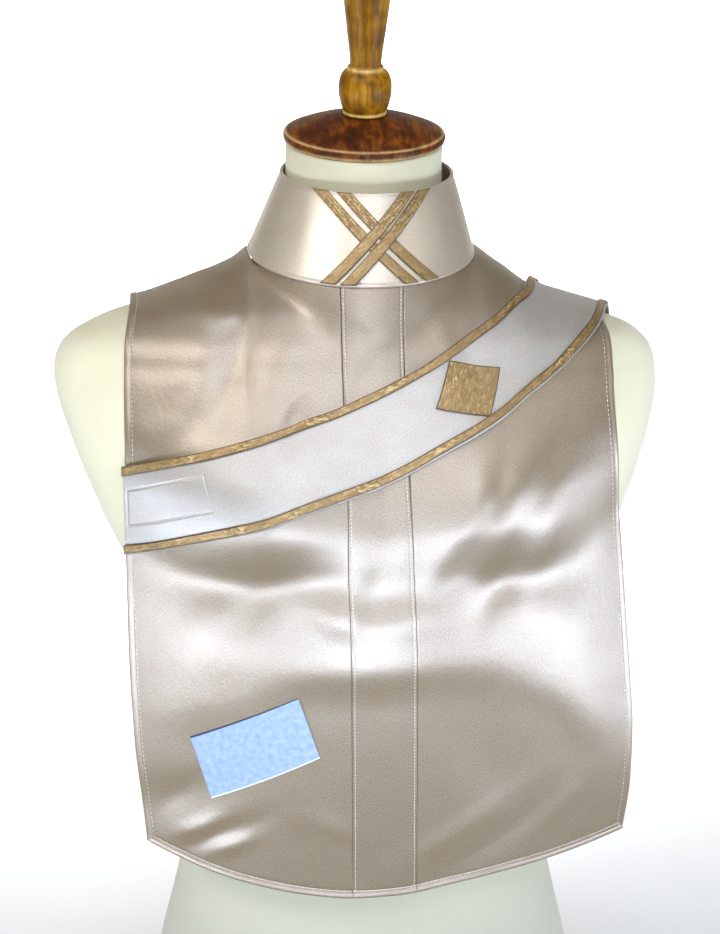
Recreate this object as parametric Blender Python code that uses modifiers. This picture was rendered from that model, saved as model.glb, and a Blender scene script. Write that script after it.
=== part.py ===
"""Detachable stand collar with a bib front, worn on a limbless dress form.

The form is a loft of superellipse sections, and a turned wooden cap and finial close its neck. The
cloth hangs on the form: drape_front() gives the depth of the cloth's outer face at any place, as the
smooth maximum of the form's front moved out by the cloth, the skirt below the collar's lower edge and
the free-hanging front. The band, its trims and the label are laid on that face and moved out.

+Z is up, -Y is the front, +X is to the right seen from the front, and the form's flat base lies on
z = 0. Sizes and angles below are in millimetres and degrees; mesh_object() turns them to metres.
"""

import bpy
import numpy as np

MM = 0.001

# Driving sizes
BIB_WALL = 2.0  # face cloth, interlining and backing
COLLAR_WALL = 1.8
LEATHER = 1.0  # foil leather strips and patch
LABEL_WALL = 0.9
SEAM_GAP = 0.3
LAID_GAP = 0.8  # between the bib and the band that lies over it
TRIM_GAP = 0.6  # between the band and the leather laid on it
REST_GAP = 1.2  # between the form and the cloth that rests on it
CLOTH_OUT = BIB_WALL + REST_GAP  # from the form to the bib's outer face

BAND_WIDTH = 55.0
TRIM_WIDTH = 5.5
LOWER_TRIM_INSET = 1.2
DIAMOND_LONG, DIAMOND_HIGH, DIAMOND_LIFT = 48.0, 41.0, 0.2
DIAMOND_PLACE = 0.49  # share of the band's length
STRIP_WIDTH = 9.0  # measured level, across a strip that slants
LABEL_CORNERS = ((-106.7, 264.5), (-39.9, 300.5), (-119.4, 306.5), (-53.2, 341.2))  # x and z

BLEND = 3.0  # softness of the smooth maximum
NORMAL_STEP, NORMAL_LEVEL_STEP = 0.5, 0.01  # steps for a face's normal, the second up the collar


def table(names, *rows):
    """Rows of numbers as one array for each named column."""
    return dict(zip(names.split(), np.array(rows, float).T))


FORM = table(
    "z centre_y left right front back power pitch",
    (0, 12, 149, 149, 92, 95, 2.20, 0),
    (4, 12, 153, 153, 96, 99, 2.20, 0),
    (16, 12, 155, 155, 98, 102, 2.20, 0),
    (60, 12, 152, 152, 98, 104, 2.20, 0),
    (114, 11, 141.5, 142.5, 97, 105, 2.20, 0),
    (145, 9, 134, 135, 93, 99, 2.15, 0),
    (180, 6, 126, 127, 87, 92, 2.10, 0),
    (215, 4, 119, 120, 81, 84, 2.10, 0),
    (260, 4, 121, 122, 84, 86, 2.10, 0),
    (320, 5, 135, 136, 95, 93, 2.15, 0),
    (360, 6, 145, 147, 107, 97, 2.20, 0),
    (395, 8, 156, 158, 117, 99, 2.20, 0),
    (430, 10, 172, 173, 126, 100, 2.20, 0),
    (460, 13, 184, 184.5, 127, 99, 2.15, 0),
    (485, 17, 193, 192.5, 124, 97, 2.10, 0),
    (510, 21, 200, 197.5, 117, 94, 2.00, 0),
    (522, 23, 201, 197, 113, 92, 1.95, 0),
    (531, 24, 199.5, 194, 109, 89, 1.90, 0),
    (538, 24, 196, 188, 106, 86, 1.90, 0),
    (544, 24, 190.5, 180, 103, 83, 1.90, 0),
    (551, 24, 179, 161, 99, 79, 1.90, 0),
    (558, 24, 162, 138, 95, 75, 1.90, 0),
    (565, 24, 132, 116, 90, 71, 1.90, 0),
    (572, 23, 107, 100, 85, 67, 1.90, 0),
    (580, 20.5, 90.5, 86.5, 79, 61, 1.95, 0),
    (591, 15.5, 72, 72, 71, 54.5, 2.00, 0),
    (600, 12, 60, 60, 66, 51, 2.00, 2),
    (612, 9, 54.5, 54.5, 59, 50, 2.00, 5),
    (625, 7, 51.5, 51.5, 55, 49.5, 2.00, 8),
    (640, 5, 50.0, 50.0, 51.5, 49.5, 2.00, 10),
    (655, 2.5, 49.6, 49.6, 50, 49.6, 2.00, 10.5),
    (668.7, 0, 49.6, 49.6, 49.6, 49.6, 2.00, 10.5),
)
FORM_SIDES = 44
FORM_STEP = 24.0  # greatest step between rings, up or sideways

# How far the stiff shoulder edges of the bib stand off the form, by x
STAND_OFF = table(
    "x lift",
    (-200, 0), (-150, 5.0), (-139, 5.2), (-121, 6.8), (-108, 7.5), (-96, 6.1), (-85, 5.4),
    (-75, 7.0), (-60, 7.0), (60, 4.0), (73, 4.6), (92, 4.8), (101, 3.2), (111, 1.2), (126, 0),
)
STAND_OFF_FROM, STAND_OFF_FULL = 510.0, 552.0  # heights over which it grows
CREST_FROM = 522.0  # the shoulders' crest lies above this height

# Soft swell of the dress form's chest, one each side
BUST_X, BUST_Z, BUST_OUT = 72.0, 450.0, 11.0
BUST_WIDE, BUST_ABOVE, BUST_BELOW = 44.0, 50.0, 30.0

# Where no form holds the cloth it hangs: depth at the middle and at both side edges
HANG = table(
    "z middle left right",
    (150, -108, -58, -62),
    (200, -111, -60, -66),
    (240, -114, -61, -71),
    (280, -118, -62, -74),
    (330, -123, -62, -73),
    (372, -126, -62, -69),
    (412, -122, -60, -65),
    (440, -120, -57, -60),
    (480, -98, -45, -45),
    (540, -40, 20, 20),
    (600, 90, 90, 90),
)
HANG_POWER = 2.2

# Soft folds of the hanging cloth: place, direction, half length, half width, depth (+ is outward)
FOLDS = table(
    "x z turn along across depth",
    (-84, 418, 8, 38, 17, -2.6),
    (86, 414, -10, 40, 18, -3.0),
    (-118, 352, 62, 70, 22, 2.4),
    (128, 340, -66, 80, 24, 2.8),
    (-128, 262, 28, 46, 15, -1.8),
    (70, 292, -58, 62, 26, -1.8),
)

# The bib's side edges and the two seams beside the placket
SIDE_LEFT = table(
    "z x",
    (200, -148.0), (223, -149.0), (257, -152.0), (292, -155.0), (360, -157.0),
    (420, -157.0), (478, -155.6), (512, -155.2), (548, -154.0), (569, -150.5),
)
SIDE_RIGHT = table(
    "z x",
    (200, 164.5), (220, 166.0), (259, 169.0), (295, 169.0), (331, 166.5),
    (416, 160.3), (461, 157.0), (510, 154.0), (548, 156.0), (569, 153.0),
)
SEAM_LEFT = table("z x", (200, -18.7), (297, -19.9), (380, -21.3), (431, -22.4), (525, -22.3), (610, -22.6))
SEAM_RIGHT = table("z x", (200, 22.4), (335, 20.2), (430, 17.0), (480, 15.1), (555, 15.3), (610, 16.4))
HEM = table(
    "x z",
    (-149, 223.6), (-128, 217.2), (-101, 210.0), (-70, 204.6), (-46, 201.6), (-18, 199.6),
    (11, 200.5), (44, 205.5), (78, 209.9), (112, 213.4), (166, 220.3),
)
HEM_LOW = 199.0
BIB_ROWS = 29
BIB_PATH, BIB_CROWDING = 300, 1.8  # points of a column's path, which lie closer together at its top
BIB_AHEAD = 0.2  # a column's path starts where the drape is this far in front of its top
CREST_INSET = 0.02  # how far the columns' tops lie below the crest
PANEL_HALF_GAP = 0.21  # half the gap between two panels
CREST_SHARES = (0.0, 0.145, 0.29, 0.435, 0.58, 0.72, 0.855, 1.0)  # columns from shoulder tip to neck
TURN_IN = 4.0  # how far the bib's neckline reaches up inside the collar
NECK_COLUMNS = table("angle rise", (25, 4), (34, 4), (45, 4), (57, 2), (71, -2), (86, -2.4), (104, -2))
NECK_START = 75.0  # x of the first crest column beside the collar
NECK_SEAM_HALF = 0.45  # half the gap between two panels at the neckline
COLUMN_APART = 0.03  # least step between neighbouring columns just below the neckline, of the width

# The collar's two edges: rings round the neck, tilted forward
COLLAR = table(
    "level centre_x centre_y half_width front back z rise",
    (0, -2.5, -2.0, 72.5, 78.0, 66.0, 601.0, 0.160),
    (1, 1.8, 1.0, 54.4, 57.5, 55.6, 650.3, 0.140),
)
COLLAR_STEP, COLLAR_FIRST, COLLAR_LAST = 6, -186, 192
COLLAR_LEVELS = 6
OVERLAP_FROM, OVERLAP_TO = 150.0, 168.0
SKIRT_FLARE, SIDE_FLARE, SKIRT_FADE = 7.0, 0.3, 20.0
NECK_GAP = 0.7  # between the collar and the bib's neckline inside it

# Leather strips of the collar's crossed ornament: x at the lower and upper edge, and its place in the stack
STRIPS = {
    "collar_strip_b1": (22.0, -32.0, 0),
    "collar_strip_b2": (35.2, -18.4, 0),
    "collar_strip_a1": (-30.8, 21.4, 1),
    "collar_strip_a2": (-19.1, 32.2, 1),
}
STRIP_BEND = 0.10
STRIP_ENDS, STRIP_ROWS = 0.012, 25  # distance from the collar's edges, of its height
CROSSING_X, CROSSING_REACH, CROSSING_RAMP = 1.3, 14.0, 9.0

# The band: both edges from the bib's left side to the shoulder's crest, then down the back
BAND_FRONT = table(
    "upper_x upper_z lower_x lower_z",
    (-155.0, 477.6, -155.2, 418.4),
    (-112.0, 490.0, -100.0, 441.4),
    (-66.0, 504.0, -50.0, 458.2),
    (-20.0, 519.6, 0.0, 473.2),
    (22.0, 538.0, 48.0, 495.4),
    (54.0, 555.0, 88.0, 516.8),
    (82.0, 568.0, 120.0, 535.0),
    (98.0, 573.5, 147.0, 550.5),
)
BAND_BACK = table(  # distance along the cloth past the crest
    "upper_x upper_past lower_x lower_past",
    (110.0, 0.0, 165.0, 0.0),
    (119.0, 32.0, 173.0, 28.0),
    (128.0, 64.0, 179.0, 58.0),
    (133.0, 97.0, 182.0, 91.0),
)
BAND_CELLS, BAND_ACROSS = 56, 5
COLUMN_FOOT, COLUMN_POINTS = 395.0, 140  # where the columns under the band start, and their points

# Turned wood: radius and height above the top of the cap's rim
CAP_PROFILE = (
    (0, 10.5), (13.9, 10.5), (20, 9.6), (30, 7.2), (40, 4.0), (46.5, 1.5), (50.2, 0.0),
    (51.1, -1.0), (51.3, -3.0), (50.7, -5.2), (49.8, -5.9), (0, -5.9),
)
FINIAL_PROFILE = (
    (0, 134.0), (6, 133.2), (11.5, 130.6), (15.4, 126.0), (17.4, 119.0), (17.5, 111.0), (16.5, 100.0),
    (14.8, 85.5), (12.2, 64.0), (10.0, 46.0), (9.8, 42.6), (11.1, 41.6), (11.3, 40.2), (13.6, 38.2),
    (15.8, 34.4), (16.7, 29.0), (16.6, 24.5), (15.6, 19.0), (14.2, 15.0), (13.0, 13.4), (13.8, 12.4),
    (13.8, 11.6), (13.2, 10.8), (0, 10.8),
)
CAP_GAP = 0.3
CAP_SEAT = -5.9  # height of the cap's underside on its own axis

SATIN = ((0.70, 0.62, 0.54, 1), 0.42, 0.25)
FOIL_LEATHER = ((0.52, 0.36, 0.17, 1), 0.35, 0.75)
LABEL_WEAVE = ((0.60, 0.72, 0.78, 1), 0.70, 0.0)
FORM_CLOTH = ((0.78, 0.79, 0.69, 1), 0.90, 0.0)
STAINED_WOOD = ((0.17, 0.07, 0.02, 1), 0.35, 0.0)


def read(rows, name, at):
    """A smooth curve through one column of a table, which never overshoots its rows."""
    known, values = rows[next(iter(rows))], rows[name]
    at = np.clip(at, known[0], known[-1])
    step = np.diff(known)
    slope = np.diff(values) / step
    both = slope[:-1] * slope[1:]
    mean = 2 * both / np.where(both > 0, slope[:-1] + slope[1:], 1)
    tangent = np.concatenate([slope[:1], np.where(both > 0, mean, 0), slope[-1:]])
    i = np.clip(np.searchsorted(known, at) - 1, 0, len(step) - 1)
    t = (at - known[i]) / step[i]
    start = (1 + 2 * t) * (1 - t) ** 2 * values[i] + t * (1 - t) ** 2 * step[i] * tangent[i]
    end = t**2 * (3 - 2 * t) * values[i + 1] + t**2 * (t - 1) * step[i] * tangent[i + 1]
    return start + end


def smoothstep(x, low, high):
    t = np.clip((x - low) / (high - low), 0, 1)
    return t * t * (3 - 2 * t)


# ---- the dress form -------------------------------------------------------------------------


def bust(x, z):
    """Two soft swells, fuller below than above."""
    across = np.exp(-(((np.abs(x) - BUST_X) / BUST_WIDE) ** 2))
    height = np.where(z > BUST_Z, BUST_ABOVE, BUST_BELOW)
    return BUST_OUT * across * np.exp(-(((z - BUST_Z) / height) ** 2))


def half_width(x, z):
    return np.where(x < 0, read(FORM, "left", z), read(FORM, "right", z))


def form_side(x, z, grow, front):
    """Depth of the form's front or back, grown by the given distance up, sideways and outward."""
    inner = z - grow
    side = "front" if front else "back"
    power = read(FORM, "power", inner)
    width = np.maximum(half_width(x, inner), half_width(x, z)) + grow
    depth = np.maximum(read(FORM, side, inner), read(FORM, side, z)) + grow
    share = np.clip(1 - (np.abs(x) / width) ** power, 0, 1) ** (1 / power)
    centre = read(FORM, "centre_y", inner)
    if front:
        return centre - depth * share - bust(x, z) * np.minimum(1, 3 * share)
    return centre + depth * share


def form_heights():
    """Ring heights: the table's own, with steps between them where the rings lie far apart."""
    heights = []
    for i in range(len(FORM["z"]) - 1):
        low, high = FORM["z"][i : i + 2]
        narrow, wide = FORM["left"][i : i + 2]
        parts = int(np.ceil(max(high - low, abs(wide - narrow)) / FORM_STEP))
        heights += [low + (high - low) * k / parts for k in range(parts)]
    return np.array(heights + [FORM["z"][-1]])


def form_rings():
    """The torso's rings, base to neck, each tilted by its own pitch."""
    z = form_heights()[:, None]
    angle = np.radians(np.arange(FORM_SIDES) * 360 / FORM_SIDES)[None, :]
    power = read(FORM, "power", z)
    sine, cosine = np.sin(angle), np.cos(angle)
    size = (np.abs(sine) ** power + np.abs(cosine) ** power) ** (-1 / power)
    x = half_width(sine, z) * size * sine
    depth = np.where(cosine > 0, read(FORM, "front", z), read(FORM, "back", z))
    away = -depth * size * cosine
    away = away - bust(x, z) * np.clip(3 * size * cosine, 0, 1)
    pitch = np.radians(read(FORM, "pitch", z))
    y = read(FORM, "centre_y", z) + away * np.cos(pitch)
    return np.stack([x, y, z + away * np.sin(pitch)], -1)


# ---- the cloth's outer face -----------------------------------------------------------------


def stand_off(x, z):
    return read(STAND_OFF, "lift", x) * smoothstep(z, STAND_OFF_FROM, STAND_OFF_FULL)


def crest(x):
    """Height of the shoulder line under the cloth's outer face at x."""
    z = np.linspace(CREST_FROM, FORM["z"][-1], 400)
    reach = CLOTH_OUT - np.abs(x)
    left = np.interp(reach, -read(FORM, "left", z), z)
    right = np.interp(reach, -read(FORM, "right", z), z)
    height = np.where(x < 0, left, right) + CLOTH_OUT
    return height + read(STAND_OFF, "lift", x)


def collar_row(level, name):
    return COLLAR[name][0] + (COLLAR[name][1] - COLLAR[name][0]) * level


def collar_face(angle, level, out=0.0):
    """A point of the collar's outer face, by the angle round the neck (0 is the front)."""
    turn = np.radians(angle)
    depth = np.where(np.cos(turn) > 0, collar_row(level, "front"), collar_row(level, "back"))
    lapped = (COLLAR_WALL + SEAM_GAP) * smoothstep(angle, OVERLAP_FROM, OVERLAP_TO)
    x = collar_row(level, "centre_x") + (collar_row(level, "half_width") + out + lapped) * np.sin(turn)
    y = collar_row(level, "centre_y") - (depth + out + lapped) * np.cos(turn)
    return np.stack([x, y, collar_row(level, "z") + collar_row(level, "rise") * y], -1)


def skirt(x, z):
    """Depth of the cloth that starts inside the collar's lower edge and flares a little below it."""
    inside = COLLAR_WALL + NECK_GAP
    centre_x, centre_y = COLLAR["centre_x"][0], COLLAR["centre_y"][0]
    slope = (COLLAR["front"][0] - COLLAR["front"][1]) / (COLLAR["z"][1] - COLLAR["z"][0])
    y = np.full(np.broadcast(x, z).shape, -60.0)
    for _ in range(6):
        above = z - COLLAR["z"][0] - COLLAR["rise"][0] * y
        flare = np.where(
            above > 0, -slope * above, SKIRT_FLARE * (1 - np.exp(np.minimum(above, 0) / SKIRT_FADE))
        )
        width = COLLAR["half_width"][0] - inside + np.where(above > 0, 1, SIDE_FLARE) * flare
        depth = COLLAR["front"][0] - inside + flare
        share = np.sqrt(np.clip(1 - ((x - centre_x) / width) ** 2, 0, 1))
        y = np.where(share > 0, centre_y - depth * share, 200.0)
    return y


def hang(x, z):
    """Depth of the free-hanging front: flat in the middle, falling back to both side edges."""
    left, right = read(SIDE_LEFT, "x", z), read(SIDE_RIGHT, "x", z)
    middle = read(HANG, "middle", z)
    edge = np.where(x < 0, read(HANG, "left", z), read(HANG, "right", z))
    share = np.abs(np.where(x < 0, x / left, x / right))
    return middle + (edge - middle) * share**HANG_POWER


def folds(x, z):
    """Sum of the soft folds, each a bell along and across its own direction."""
    total = np.zeros(np.broadcast(x, z).shape)
    for i in range(len(FOLDS["x"])):
        turn = np.radians(FOLDS["turn"][i])
        dx, dz = x - FOLDS["x"][i], z - FOLDS["z"][i]
        along = dx * np.cos(turn) + dz * np.sin(turn)
        across = dz * np.cos(turn) - dx * np.sin(turn)
        bell = (along / FOLDS["along"][i]) ** 2 + (across / FOLDS["across"][i]) ** 2
        total = total + FOLDS["depth"][i] * np.exp(-bell)
    return total


def drape_front(x, z):
    """Depth of the cloth's outer face in front of the shoulder's crest."""
    held = form_side(x, z - stand_off(x, z), CLOTH_OUT, True)
    free = hang(x, z) - folds(x, z)
    outward = np.stack([-held, -skirt(x, z), -free])
    most = outward.max(0)
    return -(most + BLEND * np.log(np.exp((outward - most) / BLEND).sum(0)))


def front_face(x, z):
    """A point of the bib's outer face by x and height."""
    x, z = np.broadcast_arrays(x, z)
    return np.stack([x, drape_front(x, z), z], -1)


def column(x):
    """The cloth's path at one x, up the front, over the crest and down the back, and its length so far."""
    top = float(crest(x))
    down = (top - COLUMN_FOOT) * np.linspace(1, 0, COLUMN_POINTS) ** 2
    front_z, back_z = top - down, top - down[-2::-1]
    front_y = drape_front(np.full(front_z.shape, x), front_z)
    back_y = form_side(np.full(back_z.shape, x), back_z - stand_off(x, back_z), CLOTH_OUT, False)
    y, z = np.concatenate([front_y, back_y]), np.concatenate([front_z, back_z])
    return y, z, np.concatenate([[0], np.cumsum(np.hypot(np.diff(y), np.diff(z)))])


def over_shoulder(x, climb):
    """A point of the draped face by x and its distance along the cloth from the column's foot."""
    x, climb = np.broadcast_arrays(x, climb)
    points = []
    for one_x, one_climb in zip(x.ravel(), climb.ravel()):
        y, z, length = column(one_x)
        points.append((one_x, np.interp(one_climb, length, y), np.interp(one_climb, length, z)))
    return np.array(points).reshape(x.shape + (3,))


def climb_to(x, z):
    """Distance along the cloth from the column's foot to a height on the front."""
    y, heights, length = column(x)
    return float(np.interp(z, heights[:COLUMN_POINTS], length[:COLUMN_POINTS]))


def climb_past(x, past):
    """Distance along the cloth from the column's foot to a place past the crest."""
    return float(column(x)[2][COLUMN_POINTS - 1]) + past


def raised(surface, s, t, out):
    """Points of a surface moved out along its normal, the cross product of its two directions."""
    step = NORMAL_STEP
    along = surface(s + step, t) - surface(s - step, t)
    up_step = NORMAL_LEVEL_STEP if surface is collar_face else step
    up = surface(s, t + up_step) - surface(s, t - up_step)
    normal = np.cross(along, up)
    normal /= np.linalg.norm(normal, axis=-1, keepdims=True)
    return surface(s, t) + normal * np.asarray(out)[..., None]


# ---- objects --------------------------------------------------------------------------------

for old in list(bpy.data.objects):
    bpy.data.objects.remove(old, do_unlink=True)
collection = bpy.data.collections.new("shirt_collar_on_form")
bpy.context.scene.collection.children.link(collection)


def finish_of(name, look):
    """A Principled material with its colour, roughness and metallic value."""
    material = bpy.data.materials.new(name + "_finish")
    material.use_nodes = True
    shader = material.node_tree.nodes["Principled BSDF"]
    shader.inputs["Base Color"].default_value = look[0]
    shader.inputs["Roughness"].default_value = look[1]
    shader.inputs["Metallic"].default_value = look[2]
    return material


def mesh_object(name, points, faces, look):
    """A named object from points in millimetres."""
    mesh = bpy.data.meshes.new(name)
    mesh.from_pydata((np.asarray(points) * MM).tolist(), [], faces)
    mesh.shade_smooth()
    mesh.materials.append(finish_of(name, look))
    piece = bpy.data.objects.new(name, mesh)
    collection.objects.link(piece)
    return piece


def grid_faces(rows, columns):
    """Quads of a grid whose first index runs up and second runs to the right, facing its outer side."""
    a = np.arange(rows * columns).reshape(rows, columns)
    corners = np.stack([a[:-1, :-1], a[:-1, 1:], a[1:, 1:], a[1:, :-1]], -1)
    return corners.reshape(-1, 4).tolist()


def shell(name, grid, wall, look):
    """A cloth or leather wall: the outer face as a grid, thickened inward."""
    rows, columns = grid.shape[:2]
    piece = mesh_object(name, grid.reshape(-1, 3), grid_faces(rows, columns), look)
    thicken = piece.modifiers.new("wall", "SOLIDIFY")
    thicken.thickness = wall * MM
    thicken.offset = -1
    return piece


def turned(name, profile, steps, look, origin, tilt):
    """A turned piece: its profile, top to bottom, screwed round its own tilted axis."""
    points = [(radius, 0, height) for radius, height in profile]
    edges = [(i, i + 1) for i in range(len(points) - 1)]
    mesh = bpy.data.meshes.new(name)
    mesh.from_pydata((np.array(points, float) * MM).tolist(), edges, [])
    mesh.materials.append(finish_of(name, look))
    piece = bpy.data.objects.new(name, mesh)
    collection.objects.link(piece)
    piece.location = [value * MM for value in origin]
    piece.rotation_euler.x = np.radians(tilt)
    screw = piece.modifiers.new("turned", "SCREW")
    screw.steps = screw.render_steps = steps
    screw.use_merge_vertices = True
    screw.merge_threshold = 0.00001
    screw.use_smooth_shade = True
    return piece


def make_form():
    rings = form_rings()
    rows, sides = rings.shape[:2]
    index = np.arange(rows * sides).reshape(rows, sides)
    faces = []
    for row in range(rows - 1):
        for side in range(sides):
            after = (side + 1) % sides
            faces.append(
                (index[row, side], index[row, after], index[row + 1, after], index[row + 1, side])
            )
    faces.append(tuple(index[0, ::-1]))
    faces.append(tuple(index[-1]))
    faces = [[int(corner) for corner in face] for face in faces]
    mesh_object("form_torso", rings.reshape(-1, 3), faces, FORM_CLOTH)

    tilt = FORM["pitch"][-1]
    lift = CAP_GAP - CAP_SEAT
    lean = np.radians(tilt)
    origin = (0, FORM["centre_y"][-1] - lift * np.sin(lean), FORM["z"][-1] + lift * np.cos(lean))
    turned("neck_cap", CAP_PROFILE, 48, STAINED_WOOD, origin, tilt)
    turned("neck_finial", FINIAL_PROFILE, 24, STAINED_WOOD, origin, tilt)


def hem_height(x):
    return read(HEM, "z", x)


def bib_column(top, share_top, share_hem, left, right):
    """One column of the bib, from its top point down the draped face to the hem, in even steps."""
    low, high = HEM_LOW, min(top[2], float(crest(top[0])))
    z = high - (high - low) * np.linspace(0, 1, BIB_PATH) ** BIB_CROWDING
    progress = (high - z) / (high - low)
    share = share_top + (share_hem - share_top) * progress
    edge_left, edge_right = left(z), right(z)
    x = edge_left + share * (edge_right - edge_left)
    y = drape_front(x, z)
    kept = (z > hem_height(x)) & (y < top[1] - BIB_AHEAD)
    path = np.concatenate([[top], np.stack([x, y, z], -1)[kept]])
    last_x = float(x[kept][-1])
    last_z = float(hem_height(last_x))
    path = np.concatenate([path, [(last_x, float(drape_front(last_x, np.array(last_z))), last_z)]])
    length = np.concatenate([[0], np.cumsum(np.linalg.norm(np.diff(path, axis=0), axis=1))])
    even = np.concatenate([[0], np.linspace(TURN_IN, length[-1], BIB_ROWS)])
    return np.stack([np.interp(even, length, path[:, i]) for i in range(3)], -1)


def neck_point(angle, rise=TURN_IN):
    """The bib's neckline: inside the collar, a little above its lower edge."""
    level = rise / (COLLAR["z"][1] - COLLAR["z"][0])
    return collar_face(np.array(float(angle)), level, -(COLLAR_WALL + NECK_GAP))


def neck_at(x):
    """The neckline's point at x."""
    level = TURN_IN / (COLLAR["z"][1] - COLLAR["z"][0])
    width = collar_row(level, "half_width") - COLLAR_WALL - NECK_GAP
    return neck_point(np.degrees(np.arcsin((x - collar_row(level, "centre_x")) / width)))


def crest_points(tip_x, near_x):
    """Tops of the columns along the shoulder's crest, from its tip to the neck."""
    x = tip_x + (near_x - tip_x) * np.array(CREST_SHARES)
    z = crest(x) - CREST_INSET
    return np.stack([x, form_side(x, z - stand_off(x, z), CLOTH_OUT, True), z], -1).tolist()


def edge_of(rows, shift=0.0):
    return lambda z: read(rows, "x", z) + shift


def panel(name, tops, left, right):
    """One bib panel between two edges; its columns start at their tops and spread evenly to the hem."""
    tops = np.array(tops, float)
    edge_left, edge_right = left(tops[:, 2]), right(tops[:, 2])
    share_top = np.clip((tops[:, 0] - edge_left) / (edge_right - edge_left), 0, 1)
    share_hem = np.linspace(0, 1, len(tops))
    share_top[0], share_top[-1] = 0, 1
    apart = COLUMN_APART * np.arange(len(tops))
    if name == "bib_left":
        share_top = np.minimum.accumulate((share_top - apart)[::-1])[::-1] + apart
    if name == "bib_right":
        share_top = np.maximum.accumulate(share_top - apart) + apart
    columns = [bib_column(*column, left, right) for column in zip(tops, share_top, share_hem)]
    shell(name, np.stack(columns, 1)[::-1], BIB_WALL, SATIN)


def make_bib():
    half_gap = PANEL_HALF_GAP
    left_x, right_x = SEAM_LEFT["x"][-1], SEAM_RIGHT["x"][-1]
    columns = list(zip(NECK_COLUMNS["angle"], NECK_COLUMNS["rise"]))
    tops_left = crest_points(SIDE_LEFT["x"][-1], -NECK_START)
    tops_left += [neck_point(-angle, rise) for angle, rise in columns[::-1]]
    tops_left += [neck_at(left_x - NECK_SEAM_HALF)]
    tops_right = [neck_at(right_x + NECK_SEAM_HALF)]
    tops_right += [neck_point(angle, rise) for angle, rise in columns]
    tops_right += crest_points(SIDE_RIGHT["x"][-1], NECK_START + 2 * COLLAR["centre_x"][0])[::-1]
    places = np.linspace(left_x + NECK_SEAM_HALF, right_x - NECK_SEAM_HALF, 5)
    tops_centre = [neck_at(x) for x in places]
    panel("bib_left", tops_left, edge_of(SIDE_LEFT), edge_of(SEAM_LEFT, -half_gap))
    panel("bib_centre", tops_centre, edge_of(SEAM_LEFT, half_gap), edge_of(SEAM_RIGHT, -half_gap))
    panel("bib_right", tops_right, edge_of(SEAM_RIGHT, half_gap), edge_of(SIDE_RIGHT))


def make_collar():
    angle = np.arange(COLLAR_FIRST, COLLAR_LAST + 1, COLLAR_STEP, dtype=float)[None, :]
    level = np.linspace(0, 1, COLLAR_LEVELS)[:, None]
    angle, level = np.broadcast_arrays(angle, level)
    shell("collar_band", collar_face(angle, level), COLLAR_WALL, SATIN)
    for name, (low_x, high_x, layer) in STRIPS.items():
        make_strip(name, low_x, high_x, layer)


def make_strip(name, low_x, high_x, layer):
    """A leather strip across the collar's front, steeper towards the top, lifted over what it crosses."""
    level = np.linspace(STRIP_ENDS, 1 - STRIP_ENDS, STRIP_ROWS)
    middle = low_x + (high_x - low_x) * level * (1 + STRIP_BEND * (1 - level))
    x = middle[:, None] + STRIP_WIDTH / 2 * np.linspace(-1, 1, 3)[None, :]
    level = np.broadcast_to(level[:, None], x.shape)
    width = collar_row(level, "half_width")
    angle = np.degrees(np.arcsin((x - collar_row(level, "centre_x")) / width))
    near = CROSSING_REACH + CROSSING_RAMP
    over = 1 - smoothstep(np.abs(x - CROSSING_X), CROSSING_REACH, near)
    out = SEAM_GAP + LEATHER + layer * over * (SEAM_GAP + LEATHER)
    shell(name, raised(collar_face, angle, level, out), LEATHER, FOIL_LEATHER)


def band_edges():
    """x and climb of the band's two edges at each row of its tables."""
    front, back = BAND_FRONT, BAND_BACK
    upper = [(x, climb_to(x, z)) for x, z in zip(front["upper_x"], front["upper_z"])]
    lower = [(x, climb_to(x, z)) for x, z in zip(front["lower_x"], front["lower_z"])]
    upper += [(x, climb_past(x, past)) for x, past in zip(back["upper_x"], back["upper_past"])]
    lower += [(x, climb_past(x, past)) for x, past in zip(back["lower_x"], back["lower_past"])]
    upper, lower = np.array(upper), np.array(lower)
    centre = over_shoulder((upper[:, 0] + lower[:, 0]) / 2, (upper[:, 1] + lower[:, 1]) / 2)
    place = np.concatenate([[0], np.cumsum(np.linalg.norm(np.diff(centre, axis=0), axis=1))])
    names = "place upper_x upper_climb lower_x lower_climb"
    return table(names, *np.column_stack([place, upper, lower]))


BAND_EDGES = band_edges()
BAND_LENGTH = BAND_EDGES["place"][-1]


def band_face(place, height):
    """A point of the draped face by its distance along the band and up from the lower edge."""
    share = height / BAND_WIDTH
    lower_x, upper_x = read(BAND_EDGES, "lower_x", place), read(BAND_EDGES, "upper_x", place)
    lower, upper = read(BAND_EDGES, "lower_climb", place), read(BAND_EDGES, "upper_climb", place)
    return over_shoulder(lower_x + (upper_x - lower_x) * share, lower + (upper - lower) * share)


def on_band(name, place, height, base, wall, look):
    """A piece of the band: a grid of places and heights, its underside at base above the bib."""
    place, height = np.broadcast_arrays(place, height)
    shell(name, raised(band_face, place, height, base + wall), wall, look)


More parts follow.
